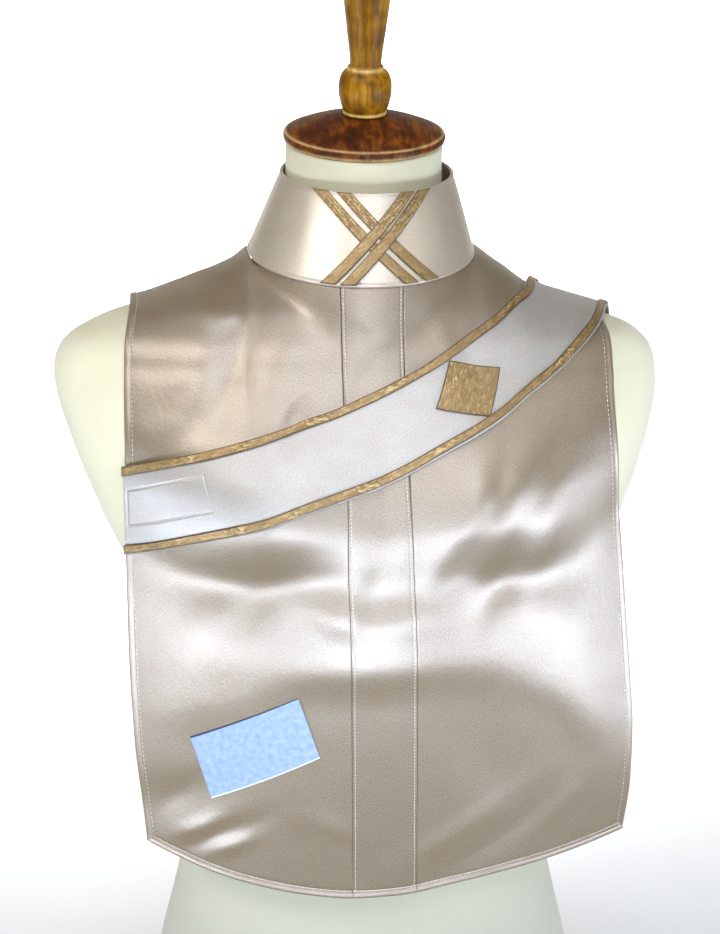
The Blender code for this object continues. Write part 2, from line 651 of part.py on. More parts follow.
def make_band():
    place = np.linspace(0, BAND_LENGTH, BAND_CELLS + 1)[None, :]
    across = np.linspace(0, BAND_WIDTH, BAND_ACROSS + 1)[:, None]
    on_band("sash_band", place, across, LAID_GAP, BIB_WALL, SATIN)
    top = LAID_GAP + BIB_WALL + TRIM_GAP
    width = np.linspace(0, TRIM_WIDTH, 2)[:, None]
    upper = BAND_WIDTH - TRIM_WIDTH + width
    on_band("sash_trim_upper", place, upper, top, LEATHER, FOIL_LEATHER)
    on_band("sash_trim_lower", place, LOWER_TRIM_INSET + width, top, LEATHER, FOIL_LEATHER)
    s, t = np.meshgrid(np.linspace(-0.5, 0.5, 6), np.linspace(-0.5, 0.5, 6))
    along = DIAMOND_PLACE * BAND_LENGTH + (s - t) * DIAMOND_LONG / 2
    high = BAND_WIDTH / 2 + (s + t) * DIAMOND_HIGH / 2 + DIAMOND_LIFT
    on_band("sash_diamond", along, high, top, LEATHER, FOIL_LEATHER)


def make_label():
    across, up = np.meshgrid(np.linspace(0, 1, 9), np.linspace(0, 1, 6))
    shares = ((1 - across) * (1 - up), across * (1 - up), (1 - across) * up, across * up)
    x = sum(share * corner[0] for share, corner in zip(shares, LABEL_CORNERS))
    z = sum(share * corner[1] for share, corner in zip(shares, LABEL_CORNERS))
    shell("woven_label", raised(front_face, x, z, SEAM_GAP + LABEL_WALL), LABEL_WALL, LABEL_WEAVE)


make_form()
make_bib()
make_collar()
make_band()
make_label()
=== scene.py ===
"""Looks of a satin stand collar with a bib front, worn on a dress form with a turned wooden neck cap.

+Z is up, -Y is the front, +X is to the right seen from the front. Sizes are in millimetres and angles
in degrees; new_piece() turns points to metres.
"""

import bpy
import numpy as np
from mathutils import Matrix


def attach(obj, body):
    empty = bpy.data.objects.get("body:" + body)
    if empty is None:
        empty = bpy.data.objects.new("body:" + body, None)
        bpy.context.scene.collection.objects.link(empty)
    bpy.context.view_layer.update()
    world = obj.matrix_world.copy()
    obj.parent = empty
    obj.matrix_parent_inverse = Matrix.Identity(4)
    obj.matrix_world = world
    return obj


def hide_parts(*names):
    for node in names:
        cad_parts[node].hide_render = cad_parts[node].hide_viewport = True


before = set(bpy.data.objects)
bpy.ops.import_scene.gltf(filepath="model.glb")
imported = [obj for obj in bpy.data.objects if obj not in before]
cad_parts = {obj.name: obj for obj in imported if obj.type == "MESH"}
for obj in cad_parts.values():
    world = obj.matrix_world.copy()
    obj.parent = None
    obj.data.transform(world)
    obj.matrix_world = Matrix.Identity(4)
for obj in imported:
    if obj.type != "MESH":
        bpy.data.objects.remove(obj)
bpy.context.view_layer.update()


# ---- dress form -----------------------------------------------------------------------------
# The limbless torso that the collar is shown on: a hard shell covered with cream cotton jersey,
# which is drawn tight and turned in under the neck cap. It stands on its flat base.

# the second colour is a painted shade, laid on from the hips down to the foot
FORM_JERSEY, FOOT_SHADE = ("#C4BB98", "#B9B08E"), "#AAA58D"
FORM_SIDES, SIDE_LENGTH = 176, 4.0  # upright strips of the surface, and each one's width on its map
RIB_SPACING = 1.5  # the knit's ribs are 0.4 mm apart; drawn coarser, or they wouldn't show


def table(names, *rows):
    """Rows of numbers as one array for each named column."""
    return dict(zip(names.split(), np.array(rows, float).T))


def read(rows, name, at):
    """A smooth curve through a table's column: cubic pieces with harmonic slopes, never overshooting."""
    known, values = rows[next(iter(rows))], rows[name]
    at = np.clip(at, known[0], known[-1])
    step = np.diff(known)
    slope = np.diff(values) / step
    both = slope[:-1] * slope[1:]
    mean = 2 * both / np.where(both > 0, slope[:-1] + slope[1:], 1)
    tangent = np.concatenate([slope[:1], np.where(both > 0, mean, 0), slope[-1:]])
    i = np.clip(np.searchsorted(known, at) - 1, 0, len(step) - 1)
    t = (at - known[i]) / step[i]
    start = (1 + 2 * t) * (1 - t) ** 2 * values[i] + t * (1 - t) ** 2 * step[i] * tangent[i]
    end = t**2 * (3 - 2 * t) * values[i + 1] + t**2 * (t - 1) * step[i] * tangent[i + 1]
    return start + end


def smoothstep(x, low, high):
    """0 below low, 1 above high, and a cubic S between them."""
    t = np.clip((x - low) / (high - low), 0, 1)
    return t * t * (3 - 2 * t)


FORM = table(
    "z centre_y left right front back power pitch",
    (0, 12, 149, 149, 92, 95, 2.20, 0),
    (4, 12, 153, 153, 96, 99, 2.20, 0),
    (16, 12, 155, 155, 98, 102, 2.20, 0),
    (60, 12, 152, 152, 98, 104, 2.20, 0),
    (114, 11, 141.5, 142.5, 97, 105, 2.20, 0),
    (145, 9, 134, 135, 93, 99, 2.15, 0),
    (180, 6, 126, 127, 87, 92, 2.10, 0),
    (215, 4, 119, 120, 81, 84, 2.10, 0),
    (260, 4, 121, 122, 84, 86, 2.10, 0),
    (320, 5, 135, 136, 95, 93, 2.15, 0),
    (360, 6, 145, 147, 107, 97, 2.20, 0),
    (395, 8, 156, 158, 117, 99, 2.20, 0),
    (430, 10, 172, 173, 126, 100, 2.20, 0),
    (460, 13, 184, 184.5, 127, 99, 2.15, 0),
    (485, 17, 193, 192.5, 124, 97, 2.10, 0),
    (510, 21, 200, 197.5, 117, 94, 2.00, 0),
    (522, 23, 201, 197, 113, 92, 1.95, 0),
    (531, 24, 199.5, 194, 109, 89, 1.90, 0),
    (538, 24, 196, 188, 106, 86, 1.90, 0),
    (544, 24, 190.5, 180, 103, 83, 1.90, 0),
    (551, 24, 179, 161, 99, 79, 1.90, 0),
    (558, 24, 162, 138, 95, 75, 1.90, 0),
    (565, 24, 132, 116, 90, 71, 1.90, 0),
    (572, 23, 107, 100, 85, 67, 1.90, 0),
    (580, 20.5, 90.5, 86.5, 79, 61, 1.95, 0),
    (591, 15.5, 72, 72, 71, 54.5, 2.00, 0),
    (600, 12, 60, 60, 66, 51, 2.00, 2),
    (612, 9, 54.5, 54.5, 59, 50, 2.00, 5),
    (625, 7, 51.5, 51.5, 55, 49.5, 2.00, 8),
    (640, 5, 50.0, 50.0, 51.5, 49.5, 2.00, 10),
    (655, 2.5, 49.6, 49.6, 50, 49.6, 2.00, 10.5),
    (668.7, 0, 49.6, 49.6, 49.6, 49.6, 2.00, 10.5),
)
BUST_X, BUST_Z, BUST_OUT = 72.0, 450.0, 11.0
BUST_WIDE, BUST_ABOVE, BUST_BELOW = 44.0, 50.0, 30.0


def bust(x, z):
    """Two soft swells: a bell across and a bell up and down, fuller below than above."""
    across = np.exp(-(((np.abs(x) - BUST_X) / BUST_WIDE) ** 2))
    height = np.where(z > BUST_Z, BUST_ABOVE, BUST_BELOW)
    return BUST_OUT * across * np.exp(-(((z - BUST_Z) / height) ** 2))


def half_width(x, z):
    """Half width of the form's section at height z, on the side that x is on."""
    return np.where(x < 0, read(FORM, "left", z), read(FORM, "right", z))


def form_rings(heights, sides):
    """Superellipse sections |x/a|^p + |y/b|^p = 1, one ring for each height, each tilted by its pitch."""
    z = heights[:, None]
    angle = (np.arange(sides) * 2 * np.pi / sides)[None, :]
    power = read(FORM, "power", z)
    sine, cosine = np.sin(angle), np.cos(angle)
    size = (np.abs(sine) ** power + np.abs(cosine) ** power) ** (-1 / power)
    x = half_width(sine, z) * size * sine
    depth = np.where(cosine > 0, read(FORM, "front", z), read(FORM, "back", z))
    away = -depth * size * cosine
    away = away - bust(x, z) * np.clip(3 * size * cosine, 0, 1)
    pitch = np.radians(read(FORM, "pitch", z))
    y = read(FORM, "centre_y", z) + away * np.cos(pitch)
    return np.stack([x, y, z + away * np.sin(pitch)], -1)


def linear(hex_colour):
    """An sRGB hex colour as linear red, green, blue and a full alpha."""
    value = np.array([int(hex_colour[i : i + 2], 16) for i in (1, 3, 5)]) / 255
    value = np.where(value <= 0.04045, value / 12.92, ((value + 0.055) / 1.055) ** 2.4)
    return (*value.tolist(), 1.0)


def feed(node, inputs):
    """Sets a node's inputs by name: to a value or hex colour, or to a link from a socket or a node.

    A node is linked by the first of its outputs that is in use.
    """
    for name, value in inputs.items():
        if isinstance(value, bpy.types.Node):
            value = next(output for output in value.outputs if output.enabled)
        if isinstance(value, bpy.types.NodeSocket):
            node.id_data.links.new(value, node.inputs[name])
        else:
            node.inputs[name].default_value = linear(value) if isinstance(value, str) else value


def add(tree, kind, inputs=None, stops=(), **settings):
    """One node with its settings, its inputs and a ramp's stops (place, hex colour)."""
    node = tree.nodes.new("ShaderNode" + kind)
    for name, value in settings.items():
        setattr(node, name, value)
    feed(node, inputs or {})
    for i, (place, colour) in enumerate(stops):
        elements = node.color_ramp.elements
        element = elements[i] if i < len(elements) else elements.new(place)
        element.position = place
        element.color = linear(colour)
    return node


def finish(name, **sockets):
    """A new material's node tree and its Principled shader, with the shader's own sockets set."""
    material = bpy.data.materials.new(name)
    material.use_nodes = True
    shader = material.node_tree.nodes["Principled BSDF"]
    feed(shader, {socket.replace("_", " "): value for socket, value in sockets.items()})
    return material, material.node_tree, shader


def grid_quads(rows, columns, wrap=False):
    """Quads of a grid whose first index runs up and second runs to the right, facing the viewer."""
    index = np.arange(rows * columns).reshape(rows, columns)
    if wrap:
        index = np.concatenate([index, index[:, :1]], 1)
    corners = [index[:-1, :-1], index[:-1, 1:], index[1:, 1:], index[1:, :-1]]
    return np.stack(corners, -1).reshape(-1, 4)


def new_piece(name, points, faces, material, uv=None):
    """A smooth-shaded object from points in millimetres; uv holds millimetres too, one pair a point."""
    mesh = bpy.data.meshes.new(name)
    mesh.from_pydata((np.asarray(points).reshape(-1, 3) * 0.001).tolist(), [], faces)
    mesh.shade_smooth()
    mesh.materials.append(material)
    if uv is not None:
        corner = np.zeros(len(mesh.loops), np.int32)
        mesh.loops.foreach_get("vertex_index", corner)
        layer = mesh.uv_layers.new(name="cloth")
        layer.data.foreach_set("uv", (np.asarray(uv).reshape(-1, 2) * 0.001)[corner].ravel())
    piece = bpy.data.objects.new(name, mesh)
    bpy.context.scene.collection.objects.link(piece)
    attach(piece, "root")
    return piece


jersey, tree, shader = finish("cotton_jersey", Roughness=0.85, Sheen_Weight=0.15, IOR=1.45)
# knitted cotton gives a dull, even cream with faint upright ribs; towards the foot it is painted darker, a
# painted shade for the dimmer light on the hips
place = add(tree, "TexCoord")
ribs = add(
    tree, "TexWave", {"Vector": place.outputs["UV"], "Scale": 2 * np.pi / 20 / (RIB_SPACING * 0.001),
                      "Distortion": 1.2, "Detail": 2.0, "Detail Scale": 1.5},
    bands_direction="X",
)
cloud = add(tree, "TexNoise", {"Vector": place.outputs["Object"], "Scale": 14.0, "Detail": 4.0})
shades = add(tree, "ValToRGB", {"Fac": cloud}, stops=((0.3, FORM_JERSEY[1]), (0.62, FORM_JERSEY[0])))
split = add(tree, "SeparateXYZ", {0: place.outputs["Object"]})
# painted shade: the cream turns darker from the hips down to the foot
low = add(tree, "MapRange", {"Value": split.outputs["Z"], "From Min": 0.26, "From Max": 0.15})
foot_shaded_jersey = add(tree, "Mix", {0: low, 6: shades, 7: FOOT_SHADE}, data_type="RGBA")
bump = add(tree, "Bump", {"Height": ribs.outputs["Fac"], "Strength": 0.15, "Distance": 0.0003})
feed(shader, {"Base Color": foot_shaded_jersey, "Normal": bump})

# the rings lie closer together at the foot and from the shoulders up
heights = np.unique(np.concatenate([
    np.linspace(0, 6, 7), np.linspace(6, 500, 80), np.linspace(500, 600, 60), np.linspace(600, 668.7, 24),
]))
rings = form_rings(heights, FORM_SIDES)
rows, sides = rings.shape[:2]
faces = grid_quads(rows, sides, wrap=True).tolist()
faces += [list(range(sides))[::-1], list(range((rows - 1) * sides, rows * sides))]
uv = np.stack(np.broadcast_arrays(np.arange(sides) * SIDE_LENGTH, heights[:, None]), -1)
torso = new_piece("form_jersey", rings, faces, jersey, uv)
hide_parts("form_torso")


# ---- neck cap and finial --------------------------------------------------------------------
# Turned beech, stained dark brown and varnished: a low domed disc on the neck and a finial that is
# screwed into it. Both are painted paler on their sharp edges, partly for wear and partly as a painted
# highlight where the edges catch the light.

CAP_PROFILE = (
    (0, 10.5), (13.9, 10.5), (20, 9.6), (30, 7.2), (40, 4.0), (46.5, 1.5), (49.7, 0.25), (50.2, 0.0),
    (50.8, -0.5), (51.2, -1.4), (51.3, -3.0), (50.9, -4.8), (50.4, -5.5), (49.8, -5.9), (30, -5.9),
    (0, -5.9),
)
FINIAL_PROFILE = (
    (0, 134.0), (3, 133.8), (6, 133.2), (9, 132.1), (11.5, 130.6), (13.8, 128.4), (15.4, 126.0),
    (17.4, 119.0), (17.5, 111.0), (16.5, 100.0), (14.8, 85.5), (12.2, 64.0), (10.0, 46.0), (9.8, 42.6),
    (10.1, 41.9), (11.1, 41.6), (11.4, 41.0), (11.3, 40.2), (13.6, 38.2), (15.8, 34.4), (16.7, 29.0),
    (16.6, 24.5), (15.6, 19.0), (14.2, 15.0), (13.2, 13.6), (13.4, 12.9), (13.8, 12.4), (13.9, 12.0),
    (13.8, 11.6), (13.2, 10.8), (7, 10.8), (0, 10.8),
)
CAP_GAP, CAP_SEAT = 0.3, -5.9
PROFILE_POINTS = 150


def travel(points):
    """Distance along a line of points from its first one: the sum of its steps."""
    return np.concatenate([[0], np.cumsum(np.linalg.norm(np.diff(points, axis=0), axis=1))])


def turned(name, profile, steps, tilt, origin, material, wear_and_sheen):
    """A profile (radius, height), smoothed and carried round its own axis, then tilted and placed.

    The attribute is a bell over the heights listed, each with its half width: it paints the sharp edges
    paler, partly wear and partly a painted highlight.
    """
    profile = np.array(profile, float)
    place = travel(profile)
    known = {"place": place, "radius": profile[:, 0], "height": profile[:, 1]}
    fine = np.unique(np.concatenate([np.linspace(0, place[-1], PROFILE_POINTS), place]))[1:-1]
    radius, height = read(known, "radius", fine), read(known, "height", fine)
    angle = np.arange(steps) * 2 * np.pi / steps
    x, y = radius[:, None] * np.sin(angle), -radius[:, None] * np.cos(angle)
    z = np.broadcast_to(height[:, None], x.shape)
    ends = np.array([(0, 0, profile[0, 1]), (0, 0, profile[-1, 1])])
    points = np.concatenate([np.stack([x, y, z], -1).reshape(-1, 3), ends])
    lean = np.radians(tilt)
    turn = np.array([(1, 0, 0), (0, np.cos(lean), -np.sin(lean)), (0, np.sin(lean), np.cos(lean))])
    faces = grid_quads(len(fine), steps, wrap=True)[:, ::-1].tolist()
    after = (np.arange(steps) + 1) % steps
    last = (len(fine) - 1) * steps
    top = np.stack([np.full(steps, len(points) - 2), np.arange(steps), after], -1)
    foot = np.stack([np.full(steps, len(points) - 1), last + after, last + np.arange(steps)], -1)
    faces += top.tolist() + foot.tolist()
    piece = new_piece(name, points @ turn.T + np.array(origin), faces, material)
    # bells of paler paint on the sharp edges: wear, and a painted highlight where the edges catch the light
    wear_and_sheen_height, wear_and_sheen_width = np.array(wear_and_sheen).T
    near = np.min(np.abs(height[:, None] - wear_and_sheen_height) / wear_and_sheen_width, axis=1)
    edge_wear_and_sheen = np.repeat(np.exp(-(near**2)), steps)
    layer = piece.data.attributes.new("edge_wear_and_sheen", "FLOAT", "POINT")
    layer.data.foreach_set("value", np.concatenate([edge_wear_and_sheen, [0, 0]]))
    axis = piece.data.attributes.new("turned_place", "FLOAT_VECTOR", "POINT")
    axis.data.foreach_set("vector", (points * 0.001).ravel())
    return piece


def stained_wood(name, dark, middle, light, wear_and_sheen_colour, grain):
    """Stained wood: long streaks along the axis, pores, and a paler colour on the sharp edges, partly wear
    and partly a painted highlight.
    """
    material, tree, shader = finish(
        name, Roughness=0.5, Coat_Weight=0.06, Coat_Roughness=0.2, IOR=1.3, Specular_IOR_Level=0.3
    )
    own = add(tree, "Attribute", attribute_name="turned_place")
    long = add(tree, "Mapping", {"Vector": own.outputs["Vector"], "Scale": grain})
    streak = add(tree, "TexNoise", {"Vector": long, "Scale": 260.0, "Detail": 6.0, "Distortion": 0.6})
    cloud = add(tree, "TexNoise", {"Vector": own.outputs["Vector"], "Scale": 70.0, "Detail": 3.0})
    both = add(tree, "Math", {0: streak, 1: cloud}, operation="MULTIPLY")
    colour = add(tree, "ValToRGB", {"Fac": both}, stops=((0.14, dark), (0.40, light), (0.25, middle)))
    # paler on the sharp edges: wear, and a painted highlight where the edges catch the light
    wear_and_sheen = add(tree, "Attribute", attribute_name="edge_wear_and_sheen")
    streaked_wear_and_sheen = add(tree, "Math", {0: wear_and_sheen.outputs["Fac"], 1: streak}, operation="MULTIPLY")
    strong = add(tree, "Math", {0: streaked_wear_and_sheen, 1: 1.5}, operation="MULTIPLY", use_clamp=True)
    mixed = add(tree, "Mix", {0: strong, 6: colour, 7: wear_and_sheen_colour}, data_type="RGBA")
    bump = add(tree, "Bump", {"Height": streak, "Strength": 0.15, "Distance": 0.0003})
    feed(shader, {"Base Color": mixed, "Normal": bump})
    return material


neck_tilt = FORM["pitch"][-1]
lean = np.radians(neck_tilt)
lift = CAP_GAP - CAP_SEAT
seat = (0, FORM["centre_y"][-1] - lift * np.sin(lean), FORM["z"][-1] + lift * np.cos(lean))
# dark stain on the disc's end grain leaves brown with reddish streaks
disc_wood = stained_wood("stained_beech_disc", "#2A1000", "#4A1E02", "#744106", "#B8935C", (1.0, 0.12, 1.0))
cap = turned("neck_cap_wood", CAP_PROFILE, 128, neck_tilt, seat, disc_wood, ((0.1, 0.45), (-4.8, 1.0)))
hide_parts("neck_cap")
# the finial's long grain stays golden brown, mottled by the varnish
shaft_wood = stained_wood(
    "stained_beech_finial", "#553404", "#7F5200", "#A37208", "#D0AC62", (1.0, 1.0, 0.10)
)
finial = turned(
    "neck_finial_wood", FINIAL_PROFILE, 72, neck_tilt, seat, shaft_wood, ((40.4, 1.2), (12.4, 0.9))
)
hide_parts("neck_finial")


# ---- bib front ------------------------------------------------------------------------------
# Duchess satin in three panels, seamed beside the middle one, with a thin interlining. The outer edges
# are turned in and topstitched; the bib hangs from the collar and over the shoulders.

BIB_WALL = 2.0
CLOTH_OUT = BIB_WALL + 1.2  # from the form to the bib's outer face
BLEND = 3.0  # how softly form, skirt and hang run into each other
SEAM_GAP = 0.3
CREST_FROM, CREST_STEPS, CREST_DROP = 522.0, 400, 0.02
STAND_FROM, STAND_FULL = 510.0, 552.0
STAND_OFF = table(
    "x lift",
    (-200, 0), (-150, 5.0), (-139, 5.2), (-121, 6.8), (-108, 7.5), (-96, 6.1), (-85, 5.4),
    (-75, 7.0), (-60, 7.0), (60, 4.0), (73, 4.6), (92, 4.8), (101, 3.2), (111, 1.2), (126, 0),
)
COLLAR_WALL, NECK_GAP = 1.8, 0.7
LAP_FROM, LAP_FULL = 150.0, 168.0  # angles between which the closing end climbs on the other
COLLAR = table(
    "level centre_x centre_y half_width front back z rise",
    (0, -2.5, -2.0, 72.5, 78.0, 66.0, 601.0, 0.160),
    (1, 1.8, 1.0, 54.4, 57.5, 55.6, 650.3, 0.140),
)
SKIRT_FLARE, SIDE_FLARE, SKIRT_FADE = 7.0, 0.3, 20.0
SKIRT_START, SKIRT_ROUNDS, BEYOND = -60.0, 6, 200.0
HANG = table(
    "z middle left right",
    (150, -108, -58, -62),
    (200, -111, -60, -66),
    (240, -114, -61, -71),
    (280, -118, -62, -74),
    (330, -123, -62, -73),
    (372, -126, -62, -69),
    (412, -122, -60, -65),
    (440, -120, -57, -60),
    (480, -98, -45, -45),
    (540, -40, 20, 20),
    (600, 90, 90, 90),
)
HANG_POWER = 2.2
FOLDS = table(
    "x z turn along across depth",
    (-84, 418, 8, 38, 17, -2.6),
    (86, 414, -10, 40, 18, -3.0),
    (-118, 352, 62, 70, 22, 2.4),
    (128, 340, -66, 80, 24, 2.8),
    (-128, 262, 28, 46, 15, -1.8),
    (70, 292, -58, 62, 26, -1.8),
)
SIDE_LEFT = table(
    "z x",
    (200, -148.0), (223, -149.0), (257, -152.0), (292, -155.0), (360, -157.0),
    (420, -157.0), (478, -155.6), (512, -155.2), (548, -154.0), (569, -150.5),
)
SIDE_RIGHT = table(
    "z x",
    (200, 164.5), (220, 166.0), (259, 169.0), (295, 169.0), (331, 166.5),
    (416, 160.3), (461, 157.0), (510, 154.0), (548, 156.0), (569, 153.0),
)
SEAM_LEFT = table("z x", (200, -18.7), (297, -19.9), (380, -21.3), (431, -22.4), (525, -22.3), (610, -22.6))
SEAM_RIGHT = table("z x", (200, 22.4), (335, 20.2), (430, 17.0), (480, 15.1), (555, 15.3), (610, 16.4))
HEM = table(
    "x z",
    (-149, 223.6), (-128, 217.2), (-101, 210.0), (-70, 204.6), (-46, 201.6), (-18, 199.6),
    (11, 200.5), (44, 205.5), (78, 209.9), (112, 213.4), (166, 220.3),
)
HEM_LOW, HEM_MEAN, TURN_IN = 199.0, 210.0, 4.0
PATH_POINTS, PATH_POWER, COLUMN_SPREAD, REACHED = 420, 1.8, 0.16, 0.2
NECK_RISE = table("angle rise", (0, 4), (45, 4), (57, 2), (71, -2), (86, -2.4), (104, -2))
NECK_START = 75.0  # x of the shoulder's crest beside the collar
SATIN, SATIN_DYE = ("#6E5B3D", "#927D5B"), ("#F6EFE8", "#F8F9F7")


def form_side(x, z, grow, front):
    """Depth of the form's front or back at x and z, grown up, sideways and outward by one distance."""
    inner = z - grow
    side = "front" if front else "back"
    power = read(FORM, "power", inner)
    width = np.maximum(half_width(x, inner), half_width(x, z)) + grow
    depth = np.maximum(read(FORM, side, inner), read(FORM, side, z)) + grow
    share = np.clip(1 - (np.abs(x) / width) ** power, 0, 1) ** (1 / power)
    centre = read(FORM, "centre_y", inner)
    if front:
        return centre - depth * share - bust(x, z) * np.minimum(1, 3 * share)
    return centre + depth * share


def stand_off(x, z):
    """How far the stiff shoulder edges stand off the form, growing towards the crest."""
    return read(STAND_OFF, "lift", x) * smoothstep(z, STAND_FROM, STAND_FULL)


def crest(x):
    """Height of the shoulder line under the cloth's outer face at x."""
    z = np.linspace(CREST_FROM, FORM["z"][-1], CREST_STEPS)
    reach = CLOTH_OUT - np.abs(x)
    left = np.interp(reach, -read(FORM, "left", z), z)
    right = np.interp(reach, -read(FORM, "right", z), z)
    return np.where(x < 0, left, right) + CLOTH_OUT + read(STAND_OFF, "lift", x)


def collar_row(level, name):
    """A size of the collar's ring at a level, straight between its lower and upper edge."""
    return COLLAR[name][0] + (COLLAR[name][1] - COLLAR[name][0]) * level


def collar_face(angle, level, out=0.0):
    """The collar's outer face: half ellipses for front and back, leaning in and rising to the back."""
    turn = np.radians(angle)
    depth = np.where(np.cos(turn) > 0, collar_row(level, "front"), collar_row(level, "back"))
    lapped = (COLLAR_WALL + SEAM_GAP) * smoothstep(angle, LAP_FROM, LAP_FULL)
    x = collar_row(level, "centre_x") + (collar_row(level, "half_width") + out + lapped) * np.sin(turn)
    y = collar_row(level, "centre_y") - (depth + out + lapped) * np.cos(turn)
    return np.stack([x, y, collar_row(level, "z") + collar_row(level, "rise") * y], -1)


def skirt(x, z):
    """Depth of the cloth that starts inside the collar's lower edge and flares a little below it.

    The collar's edge rises with depth, so the depth is found in a few rounds.
    """
    inside = COLLAR_WALL + NECK_GAP
    centre_x, centre_y = COLLAR["centre_x"][0], COLLAR["centre_y"][0]
    slope = (COLLAR["front"][0] - COLLAR["front"][1]) / (COLLAR["z"][1] - COLLAR["z"][0])
    y = np.full(np.broadcast(x, z).shape, SKIRT_START)
    for _ in range(SKIRT_ROUNDS):
        above = z - COLLAR["z"][0] - COLLAR["rise"][0] * y
        below = SKIRT_FLARE * (1 - np.exp(np.minimum(above, 0) / SKIRT_FADE))
        flare = np.where(above > 0, -slope * above, below)
        width = COLLAR["half_width"][0] - inside + np.where(above > 0, 1, SIDE_FLARE) * flare
        depth = COLLAR["front"][0] - inside + flare
        share = np.sqrt(np.clip(1 - ((x - centre_x) / width) ** 2, 0, 1))
        y = np.where(share > 0, centre_y - depth * share, BEYOND)
    return y


def hang(x, z):
    """Depth of the free-hanging front: flat in the middle, falling back to both side edges."""
    left, right = read(SIDE_LEFT, "x", z), read(SIDE_RIGHT, "x", z)
    middle = read(HANG, "middle", z)
    edge = np.where(x < 0, read(HANG, "left", z), read(HANG, "right", z))
    share = np.abs(np.where(x < 0, x / left, x / right))
    return middle + (edge - middle) * share**HANG_POWER


def bells(rows, x, z):
    """Sum of soft folds, each a bell along and across its own direction."""
    total = np.zeros(np.broadcast(x, z).shape)
    for i in range(len(rows["x"])):
        turn = np.radians(rows["turn"][i])
        dx, dz = x - rows["x"][i], z - rows["z"][i]
        along = dx * np.cos(turn) + dz * np.sin(turn)
        across = dz * np.cos(turn) - dx * np.sin(turn)
        bell = (along / rows["along"][i]) ** 2 + (across / rows["across"][i]) ** 2
        total = total + rows["depth"][i] * np.exp(-bell)
    return total


# Small creases on top of the hang: place, direction, half length, half width, depth (+ is outward)
CREASES = table(
    "x z turn along across depth",
    # below the band: arch of the belly, and the drags that hang from the bust and from the band
    (-10, 359, 0, 70, 15, 2.4),
    (8, 389, 0, 32, 12, 1.5),
    (-92, 336, 24, 40, 15, 1.3),
    (92, 343, -30, 36, 15, 1.3),
    (128, 316, -48, 34, 14, 1.0),
    (-36, 397, -24, 26, 13, 2.4),
    (-80, 396, 52, 30, 11, -1.2),
    (-24, 404, 70, 26, 8, 0.9),
    (-8, 398, 80, 22, 7, -1.0),
    (34, 424, 62, 34, 9, 1.2),
    (54, 411, 40, 26, 13, 2.0),
    (76, 424, 62, 44, 10, -1.5),
    (98, 424, 66, 44, 11, 1.2),
    (104, 478, 58, 26, 8, -1.2),
    (58, 470, 78, 22, 7, 1.0),
    (72, 476, 74, 22, 6, -0.8),
    (122, 398, 70, 30, 10, -0.7),
    # chest: drags between the collar, the shoulder and the band
    (-86, 548, 68, 38, 11, -3.8),
    (-110, 522, 62, 34, 11, 1.2),
    (-58, 546, 66, 40, 12, 1.8),
    (-120, 500, 40, 26, 9, -1.4),
    (-114, 540, 40, 30, 8, 0.9),
    (-52, 509, 60, 13, 7, -2.1),
    (-56, 520, 40, 14, 5, 1.0),
    (-12, 530, 60, 16, 6, -0.8),
    (2, 556, 30, 14, 5, 0.7),
    (-6, 566, -30, 14, 4, 0.5),
    (40, 560, -58, 22, 7, 1.2),
    (52, 544, -62, 24, 7, -1.0),
    (-128, 556, 30, 22, 7, -0.7),
    # low puckers beside the label and above the hem
    (-117, 241, 34, 17, 5.5, 1.9),
    (-128, 262, 52, 18, 6, -0.9),
    (-96, 232, 32, 15, 5, 1.7),
    (-106, 238, 40, 17, 4.5, -1.2),
    (-88, 246, 36, 22, 6, -0.9),
    (-34, 252, -20, 22, 8, 0.6),
    (50, 244, 32, 46, 9, 0.9),
    (70, 232, 30, 40, 8, -0.8),
    (118, 252, 40, 26, 8, 0.6),
)


def drape_front(x, z):
    """Depth of the bib's outer face: the smooth maximum of form, skirt and hang, and the creases."""
    held = form_side(x, z - stand_off(x, z), CLOTH_OUT, True)
    free = hang(x, z) - bells(FOLDS, x, z)
    outward = np.stack([-held, -skirt(x, z), -free])
    most = outward.max(0)
    return -(most + BLEND * np.log(np.exp((outward - most) / BLEND).sum(0))) - bells(CREASES, x, z)


def read_lines(want, lengths, values):
    """Linear reading of many curves at once: line k of values at want[k], by lengths[k] (rising)."""
    apart = 1e5 * np.arange(len(lengths))[:, None]
    return np.interp((want + apart).ravel(), (lengths + apart).ravel(), values.ravel()).reshape(want.shape)


def spread(start, count, finish, total):
    """Places along a length: close together at its ends, as listed, and even between."""
    start, finish = np.array(start, float), np.array(finish, float)
    middle = np.linspace(start[-1], total - finish[-1], count + 2)[1:-1]
    return np.concatenate([start, middle, total - finish[::-1]])


